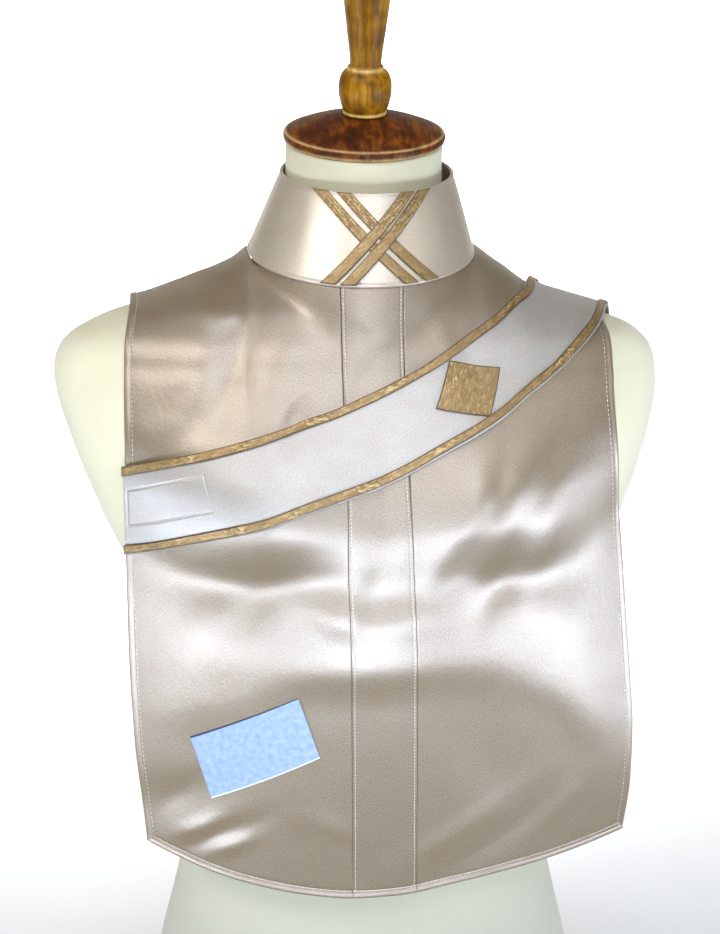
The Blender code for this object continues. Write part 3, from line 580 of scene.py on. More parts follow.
def panel_grid(tops, left, right, ends, columns, rows, way):
    """A panel's outer face: columns from its top line down the drape to the hem, rows from hem to top.

    Columns keep their true distance from both edges where they lie close together, and spread evenly
    between. Each column runs straight from its top to the first place of the drape that is in front of it.
    """
    place = travel(tops)
    at = spread(ends[0], columns, ends[1], place[-1])
    tops = np.stack([np.interp(at, place, tops[:, i]) for i in range(3)], -1)
    hem_width = right(np.array(HEM_MEAN)) - left(np.array(HEM_MEAN))
    share_hem = spread(ends[0], columns, ends[1], hem_width) / hem_width
    edge_left, edge_right = left(tops[:, 2]), right(tops[:, 2])
    share_top = np.clip((tops[:, 0] - edge_left) / (edge_right - edge_left), 0, 1)
    share_top[0], share_top[-1] = 0, 1
    apart = np.minimum(share_hem, 1) * COLUMN_SPREAD
    if way < 0:
        share_top = np.minimum.accumulate((share_top - apart)[::-1])[::-1] + apart
    if way > 0:
        share_top = np.maximum.accumulate(share_top - apart) + apart
    high = np.minimum(tops[:, 2], crest(tops[:, 0]))[:, None]
    z = high - (high - HEM_LOW) * np.linspace(0, 1, PATH_POINTS)[None, :] ** PATH_POWER
    progress = (high - z) / (high - HEM_LOW)
    share = share_top[:, None] + (share_hem - share_top)[:, None] * progress
    x = left(z) + share * (right(z) - left(z))
    path = np.stack([x, drape_front(x, z), z], -1)
    waiting = path[..., 1] >= tops[:, None, 1] - REACHED
    waiting[:, 0] = True
    path = np.where(waiting[..., None], tops[:, None, :], path)
    length = np.cumsum(np.linalg.norm(np.diff(path, axis=1, prepend=path[:, :1]), axis=2), axis=1)
    clear = path[..., 2] - read(HEM, "z", path[..., 0])
    total = read_lines(np.zeros((len(path), 1)), -clear, length)
    fine = np.array(EDGE_FINE, float)
    even = np.linspace(0, 1, rows + 2)[None, 1:-1]
    middle = fine[-1] + even * (total - 2 * fine[-1])
    want = np.concatenate([fine[None, :] + 0 * total, middle, total - fine[None, ::-1]], 1)
    grid = np.stack([read_lines(want, length, path[..., i]) for i in range(3)], -1)
    return grid.transpose(1, 0, 2)[::-1]


def grid_normals(grid):
    """Unit normals of a grid of points: the cross product of its two directions."""
    normal = np.cross(np.gradient(grid, axis=1), np.gradient(grid, axis=0))
    return normal / np.linalg.norm(normal, axis=-1, keepdims=True)


def reach(grid):
    """Distances along the grid: from its left and right ends and from its lower and upper ends."""
    across = np.linalg.norm(np.diff(grid, axis=1, prepend=grid[:, :1]), axis=2).cumsum(1)
    up = np.linalg.norm(np.diff(grid, axis=0, prepend=grid[:1]), axis=2).cumsum(0)
    return across, across[:, -1:] - across, up, up[-1:] - up


def cloth_wall(name, grid, wall, material, relief=0.0, edge=None, along_columns=False):
    """A closed wall of cloth: the outer face moved out by relief, and a parallel inner face.

    Towards every edge both faces close in on each other on a quarter circle, which rounds the rim. Its
    map runs across the piece and up it, or up and across where its length lies along the columns.
    """
    edge = np.minimum.reduce(reach(grid)) if edge is None else edge
    normal = grid_normals(grid)
    round_in = wall / 2 * (1 - np.sqrt(1 - np.clip(1 - edge / (wall / 2), 0, 0.985) ** 2))
    outer = grid + normal * (relief - round_in)[..., None]
    inner = grid - normal * (wall - round_in)[..., None]
    rows, columns = grid.shape[:2]
    quads = grid_quads(rows, columns)
    size = rows * columns
    index = np.arange(size).reshape(rows, columns)
    border = np.concatenate([index[0, :-1], index[:-1, -1], index[-1, :0:-1], index[:0:-1, 0]])
    after = np.roll(border, -1)
    rim = np.stack([after, border, border + size, after + size], -1)
    faces = np.concatenate([quads, quads[:, ::-1] + size, rim]).tolist()
    across, _, up, _ = reach(grid)
    uv = np.stack([across - across.mean(1, keepdims=True), up], -1)
    uv = uv[..., ::-1] if along_columns else uv
    piece = new_piece(name, np.concatenate([outer, inner]).reshape(-1, 3), faces, material,
                      np.concatenate([uv, uv]).reshape(-1, 2))
    layer = piece.data.attributes.new("from_edge", "FLOAT", "POINT")
    layer.data.foreach_set("value", np.concatenate([edge, edge]).ravel())
    return piece


def stitch_row(path, normal, pitch, length, width):
    """Stitches along a path: a spindle, six-sided and round-ended, at each whole pitch of its length."""
    place = travel(path)
    at = np.arange(pitch / 2, place[-1] - length / 2, pitch)

    def follow(values, where):
        """Points or normals at distances along the path, straight between its own."""
        return np.stack([np.interp(where, place, values[:, i]) for i in range(3)], -1)

    centre = follow(path, at)
    along = follow(path, at + length / 2) - follow(path, at - length / 2)
    along /= np.linalg.norm(along, axis=1, keepdims=True)
    side = np.cross(along, follow(normal, at))
    side /= np.linalg.norm(side, axis=1, keepdims=True)
    up = np.cross(side, along)
    turn = np.arange(6) * np.pi / 3
    ring = np.array([(-0.44, 0.6), (-0.22, 1.0), (0.22, 1.0), (0.44, 0.6)])
    bead = np.concatenate([
        [(-0.5 * length, 0, 0)],
        np.stack([
            np.repeat(ring[:, 0], 6) * length,
            (ring[:, 1:] * np.cos(turn)).ravel() * width / 2,
            (ring[:, 1:] * np.sin(turn)).ravel() * width / 2,
        ], -1),
        [(0.5 * length, 0, 0)],
    ])
    points = centre[:, None] + bead[:, 0, None] * along[:, None] + bead[:, 1, None] * side[:, None]
    points = points + (bead[:, 2, None] + 0.15 * width) * up[:, None]
    after = (np.arange(6) + 1) % 6
    index = 1 + np.arange(24).reshape(4, 6)
    quads = np.stack([index[:-1], index[:-1][:, after], index[1:][:, after], index[1:]], -1).reshape(-1, 4)
    foot = np.stack([0 * after, index[0][after], index[0]], -1)
    head = np.stack([0 * after + 25, index[3], index[3][after]], -1)
    start = (np.arange(len(at)) * 26)[:, None, None]
    caps = np.stack([foot, head]).reshape(-1, 3)
    return points.reshape(-1, 3), (quads + start).reshape(-1, 4), (caps + start).reshape(-1, 3)


def stitching(name, rows, material):
    """Rows of stitches joined into one piece."""
    points, faces, count = [], [], 0
    for row_points, quads, caps in rows:
        points.append(row_points)
        faces += (quads + count).tolist() + (caps + count).tolist()
        count += len(row_points)
    return new_piece(name, np.concatenate(points), faces, material)


GROOVE_WIDTH = 0.6


def turned_edge(distance, width, height, groove, lean=0.5):
    """Relief of a turned, topstitched edge: it rises at once, leans back and drops to the stitches."""
    rise = np.sin(np.pi / 2 * np.clip(distance / (0.25 * width), 0, 1))
    fall = 1 - smoothstep(distance, 0.78 * width, width)
    roll = height * (1 - lean * distance / width) * rise * fall
    return roll - groove * np.exp(-(((distance - width) / GROOVE_WIDTH) ** 2))


def satin_cloth(name, dark, light, gloss, grain):
    """Duchess satin: upright floats of fine thread that shine more across than along; the dye takes
    unevenly, in faint warm and cool clouds. Gloss is the roughness, grain the depth of the threads."""
    material, tree, shader = finish(
        name, Roughness=gloss, Metallic=0.42, IOR=2.6, Anisotropic=0.4,
        Sheen_Weight=0.05, Sheen_Roughness=0.4,
    )
    place = add(tree, "TexCoord")
    # the floats are about 0.1 mm wide; drawn about 0.7 mm wide, or they wouldn't show
    fine = add(tree, "Mapping", {"Vector": place.outputs["UV"], "Scale": (1.0, 0.6, 1.0)})
    threads = add(tree, "TexNoise", {"Vector": fine, "Scale": 1400.0, "Detail": 3.0})
    slub = add(tree, "TexNoise", {"Vector": fine, "Scale": 240.0, "Detail": 4.0, "Roughness": 0.65})
    dye = add(tree, "TexNoise", {"Vector": place.outputs["UV"], "Scale": 60.0, "Detail": 2.0})
    shades = add(tree, "ValToRGB", {"Fac": threads}, stops=((0.33, dark), (0.67, light)))
    clouds = add(tree, "ValToRGB", {"Fac": dye}, stops=((0.35, SATIN_DYE[0]), (0.65, SATIN_DYE[1])))
    dyed = add(tree, "Mix", {0: 1.0, 6: shades, 7: clouds}, data_type="RGBA", blend_type="MULTIPLY")
    floats = add(tree, "Bump", {"Height": threads, "Strength": grain, "Distance": 0.00012})
    soft = add(tree, "Bump", {"Height": slub, "Strength": grain, "Distance": 0.0002, "Normal": floats})
    weft = add(tree, "Tangent", direction_type="UV_MAP", uv_map="cloth")
    feed(shader, {"Base Color": dyed, "Normal": soft, "Tangent": weft})
    return material


# champagne beige where it turns away from the light, almost white where it shines
satin = satin_cloth("duchess_satin", *SATIN, 0.44, 0.8)

EDGE_FINE = (0, 0.35, 0.8, 1.4, 2.2, 3.1, 3.9, 4.4, 4.7, 5.0, 5.3, 5.8, 6.6, 8.0)
SEAM_FINE = (0, 0.12, 0.6, 1.2, 1.7, 2.1, 2.6, 3.6)
# turned edges: width, height, depth of the stitch groove, and how far the top leans back
HEM_TURN, SIDE_TURN = (5.0, 1.9, 0.5), (5.0, 0.5, 0.2, 0.0)
PLACKET_STITCH, PLACKET_GROOVE = 1.7, 0.2
# stitches: pitch, length and width
HEM_STITCH, SIDE_STITCH, SEAM_STITCH = (1.9, 1.6, 0.6), (3.0, 2.0, 0.32), (2.3, 1.7, 0.36)
BIB_ROWS, SIDE_COLUMNS, CENTRE_COLUMNS = 150, 60, 14
TOP_POINTS, CENTRE_POINTS, NECK_END = 60, 40, 104.0


def neck_line(first, last, count):
    """The bib's neckline inside the collar, between two angles, at the height that clears the collar."""
    angle = np.linspace(first, last, count)
    level = read(NECK_RISE, "rise", np.abs(angle)) / (COLLAR["z"][1] - COLLAR["z"][0])
    return collar_face(angle, level, -(COLLAR_WALL + NECK_GAP))


def neck_angle(x):
    """The angle at which the neckline passes x."""
    level = TURN_IN / (COLLAR["z"][1] - COLLAR["z"][0])
    width = collar_row(level, "half_width") - COLLAR_WALL - NECK_GAP
    return np.degrees(np.arcsin((x - collar_row(level, "centre_x")) / width))


def crest_line(first, last, count):
    """The shoulder's crest between two places in x."""
    x = np.linspace(first, last, count)
    z = crest(x) - CREST_DROP
    return np.stack([x, form_side(x, z - stand_off(x, z), CLOTH_OUT, True), z], -1)


def edge_of(rows, shift=0.0):
    """A panel's edge, x by height, from its table."""
    return lambda z: read(rows, "x", z) + shift


HALF_GAP, NECK_HALF = 0.03, 0.3
seam_left, seam_right = SEAM_LEFT["x"][-1], SEAM_RIGHT["x"][-1]
tops_left = np.concatenate([
    crest_line(SIDE_LEFT["x"][-1], -NECK_START, TOP_POINTS),
    neck_line(-NECK_END, neck_angle(seam_left - NECK_HALF), TOP_POINTS),
])
tops_right = np.concatenate([
    neck_line(neck_angle(seam_right + NECK_HALF), NECK_END, TOP_POINTS),
    crest_line(NECK_START + 2 * COLLAR["centre_x"][0], SIDE_RIGHT["x"][-1], TOP_POINTS),
])
tops_centre = neck_line(
    neck_angle(seam_left + NECK_HALF), neck_angle(seam_right - NECK_HALF), CENTRE_POINTS
)

thread, tree, shader = finish("polyester_thread", Roughness=0.5, Sheen_Weight=0.2)
# spun polyester thread, a little lighter than the satin, shows as a row of pale beads
place = add(tree, "TexCoord")
# the twist repeats every 0.3 mm; drawn about 1.1 mm long, or it wouldn't show
twist = add(tree, "TexNoise", {"Vector": place.outputs["Object"], "Scale": 900.0, "Detail": 2.0})
shades = add(tree, "ValToRGB", {"Fac": twist}, stops=((0.3, "#B9B0A4"), (0.7, "#DAD3C9")))
feed(shader, {"Base Color": shades})

bib_rows = []
for name, tops, left, right, ends, columns, way, cut in (
    ("bib_left", tops_left, edge_of(SIDE_LEFT), edge_of(SEAM_LEFT, -HALF_GAP),
     (EDGE_FINE, SEAM_FINE), SIDE_COLUMNS, -1, (0.156, 0.460)),
    ("bib_centre", tops_centre, edge_of(SEAM_LEFT, HALF_GAP), edge_of(SEAM_RIGHT, -HALF_GAP),
     (SEAM_FINE, SEAM_FINE), CENTRE_COLUMNS, 0, (0.043, 0.410)),
    ("bib_right", tops_right, edge_of(SEAM_RIGHT, HALF_GAP), edge_of(SIDE_RIGHT),
     (SEAM_FINE, EDGE_FINE), SIDE_COLUMNS, 1, (0.163, 0.461)),
):
    grid = panel_grid(tops, left, right, ends, columns, BIB_ROWS, way)
    from_left, from_right, from_hem, from_top = reach(grid)
    relief = turned_edge(from_hem, *HEM_TURN)
    stitch, last = EDGE_FINE.index(HEM_TURN[0]), grid.shape[1] - 1
    if way == 0:
        seam = np.minimum(from_left, from_right)
        groove = PLACKET_GROOVE * np.exp(-(((seam - PLACKET_STITCH) / GROOVE_WIDTH) ** 2))
        relief = relief - groove * (from_hem > HEM_TURN[0])
        sewing, first = SEAM_STITCH, SEAM_FINE.index(PLACKET_STITCH)
        sewn, hem_columns = (first, last - first), slice(0, last + 1)
    else:
        outer = from_left if way < 0 else from_right
        relief = np.where(outer < from_hem, turned_edge(outer, *SIDE_TURN), relief)
        sewing, side = SIDE_STITCH, stitch if way < 0 else last - stitch
        sewn, hem_columns = (side,), slice(side, last + 1) if way < 0 else slice(0, side + 1)
    # a rim is rounded only a tenth as wide along a seam as along a free edge
    seamed_left, seamed_right = from_left * (1 if way < 0 else 10), from_right * (1 if way > 0 else 10)
    edge = np.minimum.reduce([seamed_left, seamed_right, from_hem, from_top])
    panel = cloth_wall(name + "_satin", grid, BIB_WALL, satin, relief, edge)
    normal = grid_normals(grid)
    face = grid + normal * relief[..., None]
    bib_rows.append(stitch_row(face[stitch, hem_columns], normal[stitch, hem_columns], *HEM_STITCH))
    for k in sewn:
        bib_rows.append(stitch_row(face[stitch:, k], normal[stitch:, k], *sewing))
    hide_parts(name)

topstitch = stitching("bib_topstitching", bib_rows, thread)


# ---- collar ---------------------------------------------------------------------------------
# A shaped stand collar of two layers of duchess satin on a stiff interlining, stitched together round
# the edge and turned; it tapers to the top and laps over itself at the back of the neck.

COLLAR_TURN = (2.6, 0.35, 0.15, 0.0)

angle = np.arange(-186, 192.1, 2.0)[None, :]  # past half a turn at both ends, which lap
level = np.array([0, .008, .018, .03, .045, .07, .1, .14, .2, .28, .37, .46, .55, .64, .73, .81,
                  .87, .91, .94, .96, .975, .985, .993, 1.0])[:, None]
angle, level = np.broadcast_arrays(angle, level)
grid = collar_face(angle, level)
hem = np.minimum(*reach(grid)[2:])
# two faint waves round the collar, 9 and 17 to the turn, where the stiff layers bend unevenly
bands = 0.16 * np.sin(np.radians(angle) * 9 + 0.6) + 0.10 * np.sin(np.radians(angle) * 17 + 2 * level)
bands = bands * np.sin(np.pi * level)
relief = bands + turned_edge(hem, *COLLAR_TURN)
# pressed flat on its interlining, the same satin looks glossier; its colour is painted paler, a painted
# sheen for the brighter light on the collar
collar_satin_painted_paler = satin_cloth("duchess_satin_painted_paler", "#A3937A", "#BCAD93", 0.42, 0.4)
collar = cloth_wall("collar_satin", grid, COLLAR_WALL, collar_satin_painted_paler, relief)
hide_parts("collar_band")


# ---- crossed strips on the collar -----------------------------------------------------------
# Two pairs of narrow gold foil leather strips, glued and stitched flat on the collar's front. The pair
# that falls to the left lies over the pair that falls to the right.

LEATHER = 1.0
STRIP_WIDTH, STRIP_BEND = 9.0, 0.10
CROSSING_X, CROSSING_REACH, CROSSING_RAMP = 1.3, 14.0, 9.0
STRIPS = {
    "collar_strip_b1": (22.0, -32.0, 0),
    "collar_strip_b2": (35.2, -18.4, 0),
    "collar_strip_a1": (-30.8, 21.4, 1),
    "collar_strip_a2": (-19.1, 32.2, 1),
}
FOIL, CALM = ("#5E4625", "#86693C", "#C2A671"), ("#735A33", "#92764A")
SPECKS, CUT_EDGE = "#54351A", "#4A341B"


def foil_leather(name, crease_from, crease_full):
    """Foil pressed on thin leather: dull gold, brushed lengthwise, creased where a noise is high, with
    dark cracks, and dark where the cut edge shows."""
    material, tree, shader = finish(name, Roughness=0.45, Metallic=0.45)
    place = add(tree, "TexCoord")
    patch = add(tree, "TexNoise", {"Vector": place.outputs["UV"], "Scale": 26.0, "Detail": 1.0})
    creased = add(
        tree, "MapRange",
        {"Value": patch, "From Min": crease_from, "From Max": crease_full, "To Min": 0.3, "To Max": 0.9},
    )
    warp = add(tree, "Mapping", {"Vector": place.outputs["UV"], "Scale": (0.45, 1.0, 1.0)})
    crinkle = add(
        tree, "TexNoise",
        {"Vector": warp, "Scale": 420.0, "Detail": 3.0, "Roughness": 0.55, "Distortion": 1.6},
    )
    long = add(tree, "Mapping", {"Vector": place.outputs["UV"], "Scale": (0.12, 1.0, 1.0)})
    brushed = add(tree, "TexNoise", {"Vector": long, "Scale": 900.0, "Detail": 3.0})
    flecks = add(tree, "TexNoise", {"Vector": place.outputs["UV"], "Scale": 420.0, "Detail": 2.0})
    tone = add(
        tree, "ValToRGB", {"Fac": crinkle},
        stops=((0.36, FOIL[0]), (0.66, FOIL[2]), (0.52, FOIL[1])),
    )
    calm = add(tree, "ValToRGB", {"Fac": brushed}, stops=((0.3, CALM[0]), (0.7, CALM[1])))
    both = add(tree, "Mix", {0: creased, 6: calm, 7: tone}, data_type="RGBA")
    speck = add(tree, "MapRange", {"Value": flecks, "From Min": 0.38, "From Max": 0.32})
    crack = add(tree, "Math", {0: speck, 1: creased}, operation="MULTIPLY")
    cracked = add(tree, "Mix", {0: crack, 6: both, 7: SPECKS}, data_type="RGBA")
    rim = add(tree, "Attribute", attribute_name="from_edge")
    cut = add(
        tree, "MapRange", {"Value": rim.outputs["Fac"], "From Min": 0.9, "From Max": 0.35, "To Max": 0.85}
    )
    edged = add(tree, "Mix", {0: cut, 6: cracked, 7: CUT_EDGE}, data_type="RGBA")
    relief = add(tree, "Math", {0: crinkle, 1: creased}, operation="MULTIPLY")
    ridges = add(tree, "Bump", {"Height": relief, "Strength": 0.7, "Distance": 0.0009})
    fibres = add(
        tree, "Bump",
        {"Height": brushed, "Strength": 0.35, "Distance": 0.0003, "Normal": ridges},
    )
    feed(shader, {"Base Color": edged, "Normal": fibres})
    return material


foil = foil_leather("gold_foil_leather", 0.48, 0.62)


def raised(surface, s, t, out, step=(0.5, 0.5)):
    """Points of a surface moved out along its normal, the cross product of its two directions."""
    along = surface(s + step[0], t) - surface(s - step[0], t)
    up = surface(s, t + step[1]) - surface(s, t - step[1])
    normal = np.cross(along, up)
    normal /= np.linalg.norm(normal, axis=-1, keepdims=True)
    return surface(s, t) + normal * np.asarray(out)[..., None]


ACROSS = np.array([-1, -0.93, -0.84, -0.7, -0.5, -0.25, 0, 0.25, 0.5, 0.7, 0.84, 0.93, 1])
for name, (low_x, high_x, layer) in STRIPS.items():
    level = np.linspace(0.012, 0.988, 90)
    middle = low_x + (high_x - low_x) * level * (1 + STRIP_BEND * (1 - level))
    x = middle[:, None] + STRIP_WIDTH / 2 * ACROSS[None, :]
    level = np.broadcast_to(level[:, None], x.shape)
    width = collar_row(level, "half_width")
    angle = np.degrees(np.arcsin((x - collar_row(level, "centre_x")) / width))
    near = CROSSING_REACH + CROSSING_RAMP
    over = 1 - smoothstep(np.abs(x - CROSSING_X), CROSSING_REACH, near)
    out = SEAM_GAP + LEATHER + layer * over * (SEAM_GAP + LEATHER)
    grid = raised(collar_face, angle, level, out, (0.5, 0.01))
    strip = cloth_wall(name + "_leather", grid, LEATHER, foil, along_columns=True)
    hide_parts(name)


# ---- band over the shoulder -----------------------------------------------------------------
# A curved band of the same satin, laid over the bib from its left edge to the right shoulder and a
# little way down the back. It has a strip of gold foil leather along each long edge and a patch on it.

LAID_GAP, TRIM_GAP = 0.8, 0.6
BAND_WIDTH, TRIM_WIDTH, LOWER_TRIM_INSET = 55.0, 5.5, 1.2
FASTENER = (3.5, 68.0, 18.5, 41.0)  # places along the band and heights of the fastener behind it
# paler colours for the band's satin: a painted sheen
BAND_SATIN_PAINTED_PALE = ("#8D8475", "#A69D8F")
BAND_FRONT = table(
    "upper_x upper_z lower_x lower_z",
    (-155.0, 477.6, -155.2, 418.4),
    (-112.0, 490.0, -100.0, 441.4),
    (-66.0, 504.0, -50.0, 458.2),
    (-20.0, 519.6, 0.0, 473.2),
    (22.0, 538.0, 48.0, 495.4),
    (54.0, 555.0, 88.0, 516.8),
    (82.0, 568.0, 120.0, 535.0),
    (98.0, 573.5, 147.0, 550.5),
)
BAND_BACK = table(
    "upper_x upper_past lower_x lower_past",
    (110.0, 0.0, 165.0, 0.0),
    (119.0, 32.0, 173.0, 28.0),
    (128.0, 64.0, 179.0, 58.0),
    (133.0, 97.0, 182.0, 91.0),
)
COLUMN_FOOT, COLUMN_POINTS = 395.0, 140

# The cloth's paths up the front, over the crest and down the back, one for each whole millimetre of x
path_x = np.arange(-170.0, 197.0)
top = crest(path_x)[:, None]
down = (top - COLUMN_FOOT) * np.linspace(1, 0, COLUMN_POINTS)[None, :] ** 2
front_z, back_z = top - down, top - down[:, -2::-1]
wide_x = path_x[:, None]
path_y = np.concatenate([
    drape_front(wide_x + 0 * front_z, front_z),
    form_side(wide_x + 0 * back_z, back_z - stand_off(wide_x, back_z), CLOTH_OUT, False),
], 1)
path_z = np.concatenate([front_z, back_z], 1)
path_step = np.hypot(np.diff(path_y, prepend=path_y[:, :1]), np.diff(path_z, prepend=path_z[:, :1]))
path_length = path_step.cumsum(1)


def over_shoulder(x, climb):
    """A point of the draped face by x and its distance along the cloth from the path's foot."""
    x, climb = np.broadcast_arrays(x, climb)
    place = np.clip(x.ravel() - path_x[0], 0, len(path_x) - 1.001)
    low = place.astype(int)
    share = place - low
    found = []
    for values in (path_y, path_z):
        first, second = (
            read_lines(climb.ravel()[:, None], path_length[low + k], values[low + k])[:, 0] for k in (0, 1)
        )
        found.append(first + (second - first) * share)
    return np.stack([x.ravel(), *found], -1).reshape(x.shape + (3,))


def climb_to(x, z):
    """Distance along the cloth from the path's foot to a height on the front."""
    row = np.round(x - path_x[0]).astype(int)
    return read_lines(z[:, None], path_z[row, :COLUMN_POINTS], path_length[row, :COLUMN_POINTS])[:, 0]


def climb_past(x, past):
    """Distance along the cloth from the path's foot to a place past the crest."""
    return path_length[np.round(x - path_x[0]).astype(int), COLUMN_POINTS - 1] + past


edges = {}
for edge in ("upper", "lower"):
    x_front, x_back = BAND_FRONT[edge + "_x"], BAND_BACK[edge + "_x"]
    edges[edge + "_x"] = np.concatenate([x_front, x_back])
    edges[edge + "_climb"] = np.concatenate([
        climb_to(x_front, BAND_FRONT[edge + "_z"]), climb_past(x_back, BAND_BACK[edge + "_past"]),
    ])
centre = over_shoulder(
    (edges["upper_x"] + edges["lower_x"]) / 2, (edges["upper_climb"] + edges["lower_climb"]) / 2
)
BAND_EDGES = {"place": travel(centre), **edges}
BAND_LENGTH = BAND_EDGES["place"][-1]


def band_face(place, height):
    """A point of the draped face by its distance along the band and up from the lower edge."""
    share = height / BAND_WIDTH
    x_low, x_high = read(BAND_EDGES, "lower_x", place), read(BAND_EDGES, "upper_x", place)
    low, high = read(BAND_EDGES, "lower_climb", place), read(BAND_EDGES, "upper_climb", place)
    return over_shoulder(x_low + (x_high - x_low) * share, low + (high - low) * share)


def on_band(name, place, height, base, wall, material, relief=0.0):
    """A piece of the band: a grid of places and heights, its underside at base above the bib."""
    place, height = np.broadcast_arrays(place, height)
    grid = raised(band_face, place, height, base + wall + 0 * place, (2.0, 2.0))
    return cloth_wall(name, grid, wall, material, relief)


# the same satin with a rougher hand than the bib's, its colour painted paler as a painted sheen for the
# band's whiter shine
band_satin_painted_pale = satin_cloth("duchess_satin_painted_pale", *BAND_SATIN_PAINTED_PALE, 0.5, 0.6)

fine = (0, 0.35, 0.8, 1.3, 2.0)
pressed = np.array([-1.6, -1.0, -0.5, 0, 0.5, 1.0, 1.6])
place = np.unique(np.concatenate([
    spread(fine, 240, fine, BAND_LENGTH), FASTENER[0] + pressed[1:], FASTENER[1] + pressed,
]))[None, :]
across = np.unique(np.concatenate([
    spread(fine, 40, fine, BAND_WIDTH), FASTENER[2] + pressed, FASTENER[3] + pressed,
]))[:, None]
# the hook-and-loop fastener behind the band's left end presses its outline through
x_in = np.minimum(place - FASTENER[0], FASTENER[1] - place)
z_in = np.minimum(across - FASTENER[2], FASTENER[3] - across)
inside = np.minimum(x_in, z_in)
relief = 0.2 * smoothstep(inside, -0.5, 1.5) - 0.28 * np.exp(-((inside / GROOVE_WIDTH) ** 2))
band = on_band("sash_satin", place, across, LAID_GAP, BIB_WALL, band_satin_painted_pale, relief)
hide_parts("sash_band")

trim_base = LAID_GAP + BIB_WALL + TRIM_GAP
width = np.array([0, 0.3, 0.7, 1.3, 2.1, 2.75, 3.4, 4.2, 4.8, 5.2, TRIM_WIDTH])[:, None]
place = spread((0, 0.3, 0.8), 220, (0, 0.3, 0.8), BAND_LENGTH)[None, :]
for name, height in (
    ("sash_trim_upper", BAND_WIDTH - TRIM_WIDTH + width),
    ("sash_trim_lower", LOWER_TRIM_INSET + width),
):
    trim = on_band(name + "_leather", place, height, trim_base, LEATHER, foil)
    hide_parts(name)

side = spread((0, 0.012, 0.03, 0.06), 18, (0, 0.012, 0.03, 0.06), 1.0) - 0.5
s, t = np.meshgrid(side, side)
along = 0.49 * BAND_LENGTH + (s - t) * 25.0
high = BAND_WIDTH / 2 + (s + t) * 21.5 + 0.2
# the patch is crumpled all over, the strips only in places
crumpled = foil_leather("gold_foil_leather_crumpled", 0.42, 0.66)
diamond = on_band("sash_diamond_leather", along, high, trim_base, LEATHER, crumpled)
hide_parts("sash_diamond")


# ---- woven label ----------------------------------------------------------------------------
# A pale blue woven label, sewn flat on the lower left of the bib. It is left bare.

LABEL_WALL = 0.9
LABEL_CORNERS = ((-106.7, 264.5), (-39.9, 300.5), (-119.4, 306.5), (-53.2, 341.2))
LABEL_BLUE = ("#7486AC", "#8796B6")


def front_face(x, z):
    """A point of the bib's outer face by x and height."""
    x, z = np.broadcast_arrays(x, z)
    return np.stack([x, drape_front(x, z), z], -1)


weave, tree, shader = finish("woven_label_polyester", Roughness=0.6, Sheen_Weight=0.2)
# a damask weave of fine polyester looks mottled pale blue, its lower selvedge pale; a thin dark navy line
# along the upper edge is a painted fold shadow
place = add(tree, "TexCoord")
cloud = add(tree, "TexNoise", {"Vector": place.outputs["UV"], "Scale": 260.0, "Detail": 4.0})
shades = add(tree, "ValToRGB", {"Fac": cloud}, stops=((0.35, LABEL_BLUE[0]), (0.65, LABEL_BLUE[1])))
split = add(tree, "SeparateXYZ", {0: place.outputs["UV"]})
# painted shadow: a thin dark line where the upper edge folds
upper = add(tree, "MapRange", {"Value": split.outputs["Y"], "From Min": 0.0424, "From Max": 0.0428})
lower = add(tree, "MapRange", {"Value": split.outputs["Y"], "From Min": 0.0009, "From Max": 0.0006})
upper_fold_shadow = add(tree, "Mix", {0: upper, 6: shades, 7: "#20283C"},
           data_type="RGBA")
pale = add(tree, "Mix", {0: lower, 6: upper_fold_shadow, 7: "#E4EEF2"}, data_type="RGBA")
bump = add(tree, "Bump", {"Height": cloud, "Strength": 0.4, "Distance": 0.0003})
feed(shader, {"Base Color": pale, "Normal": bump})

side_u = spread((0, 0.006, 0.015, 0.03), 40, (0, 0.006, 0.015, 0.03), 1.0)
side_v = spread((0, 0.008, 0.02, 0.04), 26, (0, 0.008, 0.02, 0.04), 1.0)
u, v = np.meshgrid(side_u, side_v)
shares = ((1 - u) * (1 - v), u * (1 - v), (1 - u) * v, u * v)
x, z = (sum(share * corner[i] for share, corner in zip(shares, LABEL_CORNERS)) for i in (0, 1))
grid = raised(front_face, x, z, SEAM_GAP + LABEL_WALL + 0 * x)
label = cloth_wall("label_weave", grid, LABEL_WALL, weave)
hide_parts("woven_label")


# ---- floor, lights and camera ---------------------------------------------------------------
# A plain pale floor that curves up behind. Eight soft lights stand round the front, high for the folds
# and low for what the satin mirrors, and two wash the floor. The camera looks a little down.

FLOOR_FRONT, FLOOR_BACK, FLOOR_BEND, FLOOR_TOP, FLOOR_HALF = -4.0, 4.2, 1.2, 5.0, 6.0  # metres
FLOOR_DROP = 0.5  # millimetres below the form's base
floor_paint, tree, shader = finish("matt_pale_paint", Roughness=0.9, Base_Color="#CBCBC8")
bend = np.linspace(0, np.pi / 2, 20)
y = np.concatenate([
    np.linspace(FLOOR_FRONT, FLOOR_BACK, 30),
    FLOOR_BACK + FLOOR_BEND * np.sin(bend[1:]),
    [FLOOR_BACK + FLOOR_BEND],
])
z = np.concatenate([np.zeros(30), FLOOR_BEND - FLOOR_BEND * np.cos(bend[1:]), [FLOOR_TOP]])
wide = np.linspace(-FLOOR_HALF, FLOOR_HALF, 9)
sweep = np.stack(np.broadcast_arrays(wide[None, :], y[:, None], z[:, None]), -1) * 1000 - [0, 0, FLOOR_DROP]
floor = new_piece("floor", sweep, grid_quads(len(y), len(wide)).tolist(), floor_paint)

world = bpy.data.worlds.new("studio")
bpy.context.scene.world = world
world.use_nodes = True
feed(world.node_tree.nodes["Background"], {"Color": "#FFF3E2", "Strength": 0.17})
bpy.context.scene.view_settings.view_transform = "Standard"


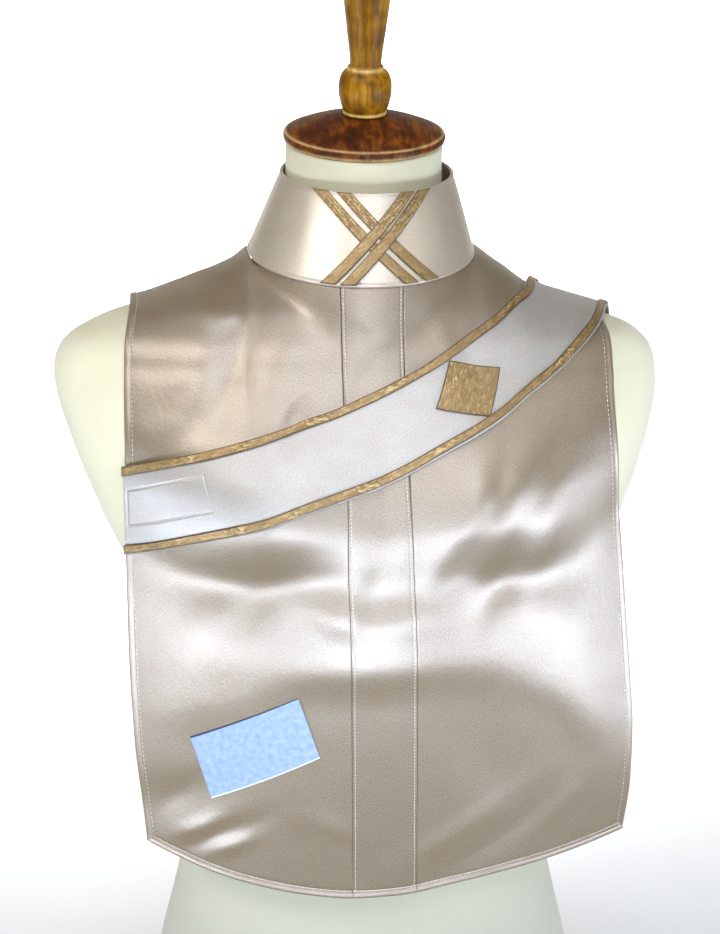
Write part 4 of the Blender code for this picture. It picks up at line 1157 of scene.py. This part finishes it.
def hold(name, data, place, back):
    """A light's or camera's object at a place, level with the ground, its back along a direction."""
    back = np.array(back, float) / np.linalg.norm(back)
    right = np.cross((0, 0, 1), back)
    right /= np.linalg.norm(right)
    holder = bpy.data.objects.new(name, data)
    turn = np.column_stack([right, np.cross(back, right), back])
    holder.matrix_world = Matrix.LocRotScale(place, Matrix(turn.tolist()), None)
    bpy.context.scene.collection.objects.link(holder)
    return holder


def soft_light(name, place, target, width, height, watts, colour, spread):
    """A rectangular light at a place, turned to face a target, its beam as wide as spread."""
    lamp = bpy.data.lights.new(name, "AREA")
    lamp.shape = "RECTANGLE"
    lamp.size, lamp.size_y, lamp.energy = width, height, watts
    lamp.color = linear(colour)[:3]
    lamp.spread = np.radians(spread)
    hold(name, lamp, place, np.subtract(place, target)).visible_camera = False


soft_light("upper_front", (0.02, -1.65, 1.70), (0, 0, 0.5), 1.2, 0.9, 2.8, "#DAE4F9", 50)
soft_light("middle_front", (-0.05, -1.75, 0.86), (0, 0, 0.5), 0.5, 0.3, 0.7, "#DCE7F8", 50)
soft_light("upper_left", (-1.35, -0.95, 1.70), (0, 0, 0.5), 0.6, 0.6, 1.9, "#ECEEF4", 50)
soft_light("upper_right", (1.25, -0.90, 1.55), (0, 0, 0.5), 0.7, 0.7, 0.45, "#E8ECF4", 50)
soft_light("high_front", (0.0, -0.45, 2.20), (0, 0, 0.58), 0.9, 0.5, 1.1, "#D3E0FA", 40)
soft_light("low_front", (-0.05, -1.05, 0.17), (0, 0, 0.38), 1.3, 0.08, 2.0, "#C6DAFB", 45)
soft_light("low_left", (-0.84, -0.52, 0.12), (0, 0, 0.38), 0.8, 0.2, 1.9, "#CCDDF9", 70)
soft_light("low_right", (0.95, -0.62, 0.20), (0, 0, 0.38), 0.9, 0.36, 3.6, "#C9DBFA", 80)
soft_light("near_wash", (0, 1.0, 2.2), (0, 2.0, 0.3), 3.6, 1.0, 120, "#FFFFFF", 110)
soft_light("far_wash", (0, 3.8, 3.2), (0, 4.0, 0.3), 6.0, 3.0, 320, "#FFFFFF", 60)

AZIMUTH, ELEVATION, DISTANCE, FOCAL = np.radians(-6.0), np.radians(15.0), 1.30, 1970.0
TARGET = np.array([-0.0026, 0.0, 0.455])
VIEW_HEIGHT, SENSOR = 934, 36.0  # pixels, for a focal length in pixels; millimetres
back = np.array([
    np.sin(AZIMUTH) * np.cos(ELEVATION), -np.cos(AZIMUTH) * np.cos(ELEVATION), np.sin(ELEVATION),
])
camera = bpy.data.cameras.new("camera")
camera.lens, camera.sensor_width = FOCAL / VIEW_HEIGHT * SENSOR, SENSOR
camera.clip_start = 0.05
bpy.context.scene.camera = hold("camera", camera, TARGET + back * DISTANCE, back)
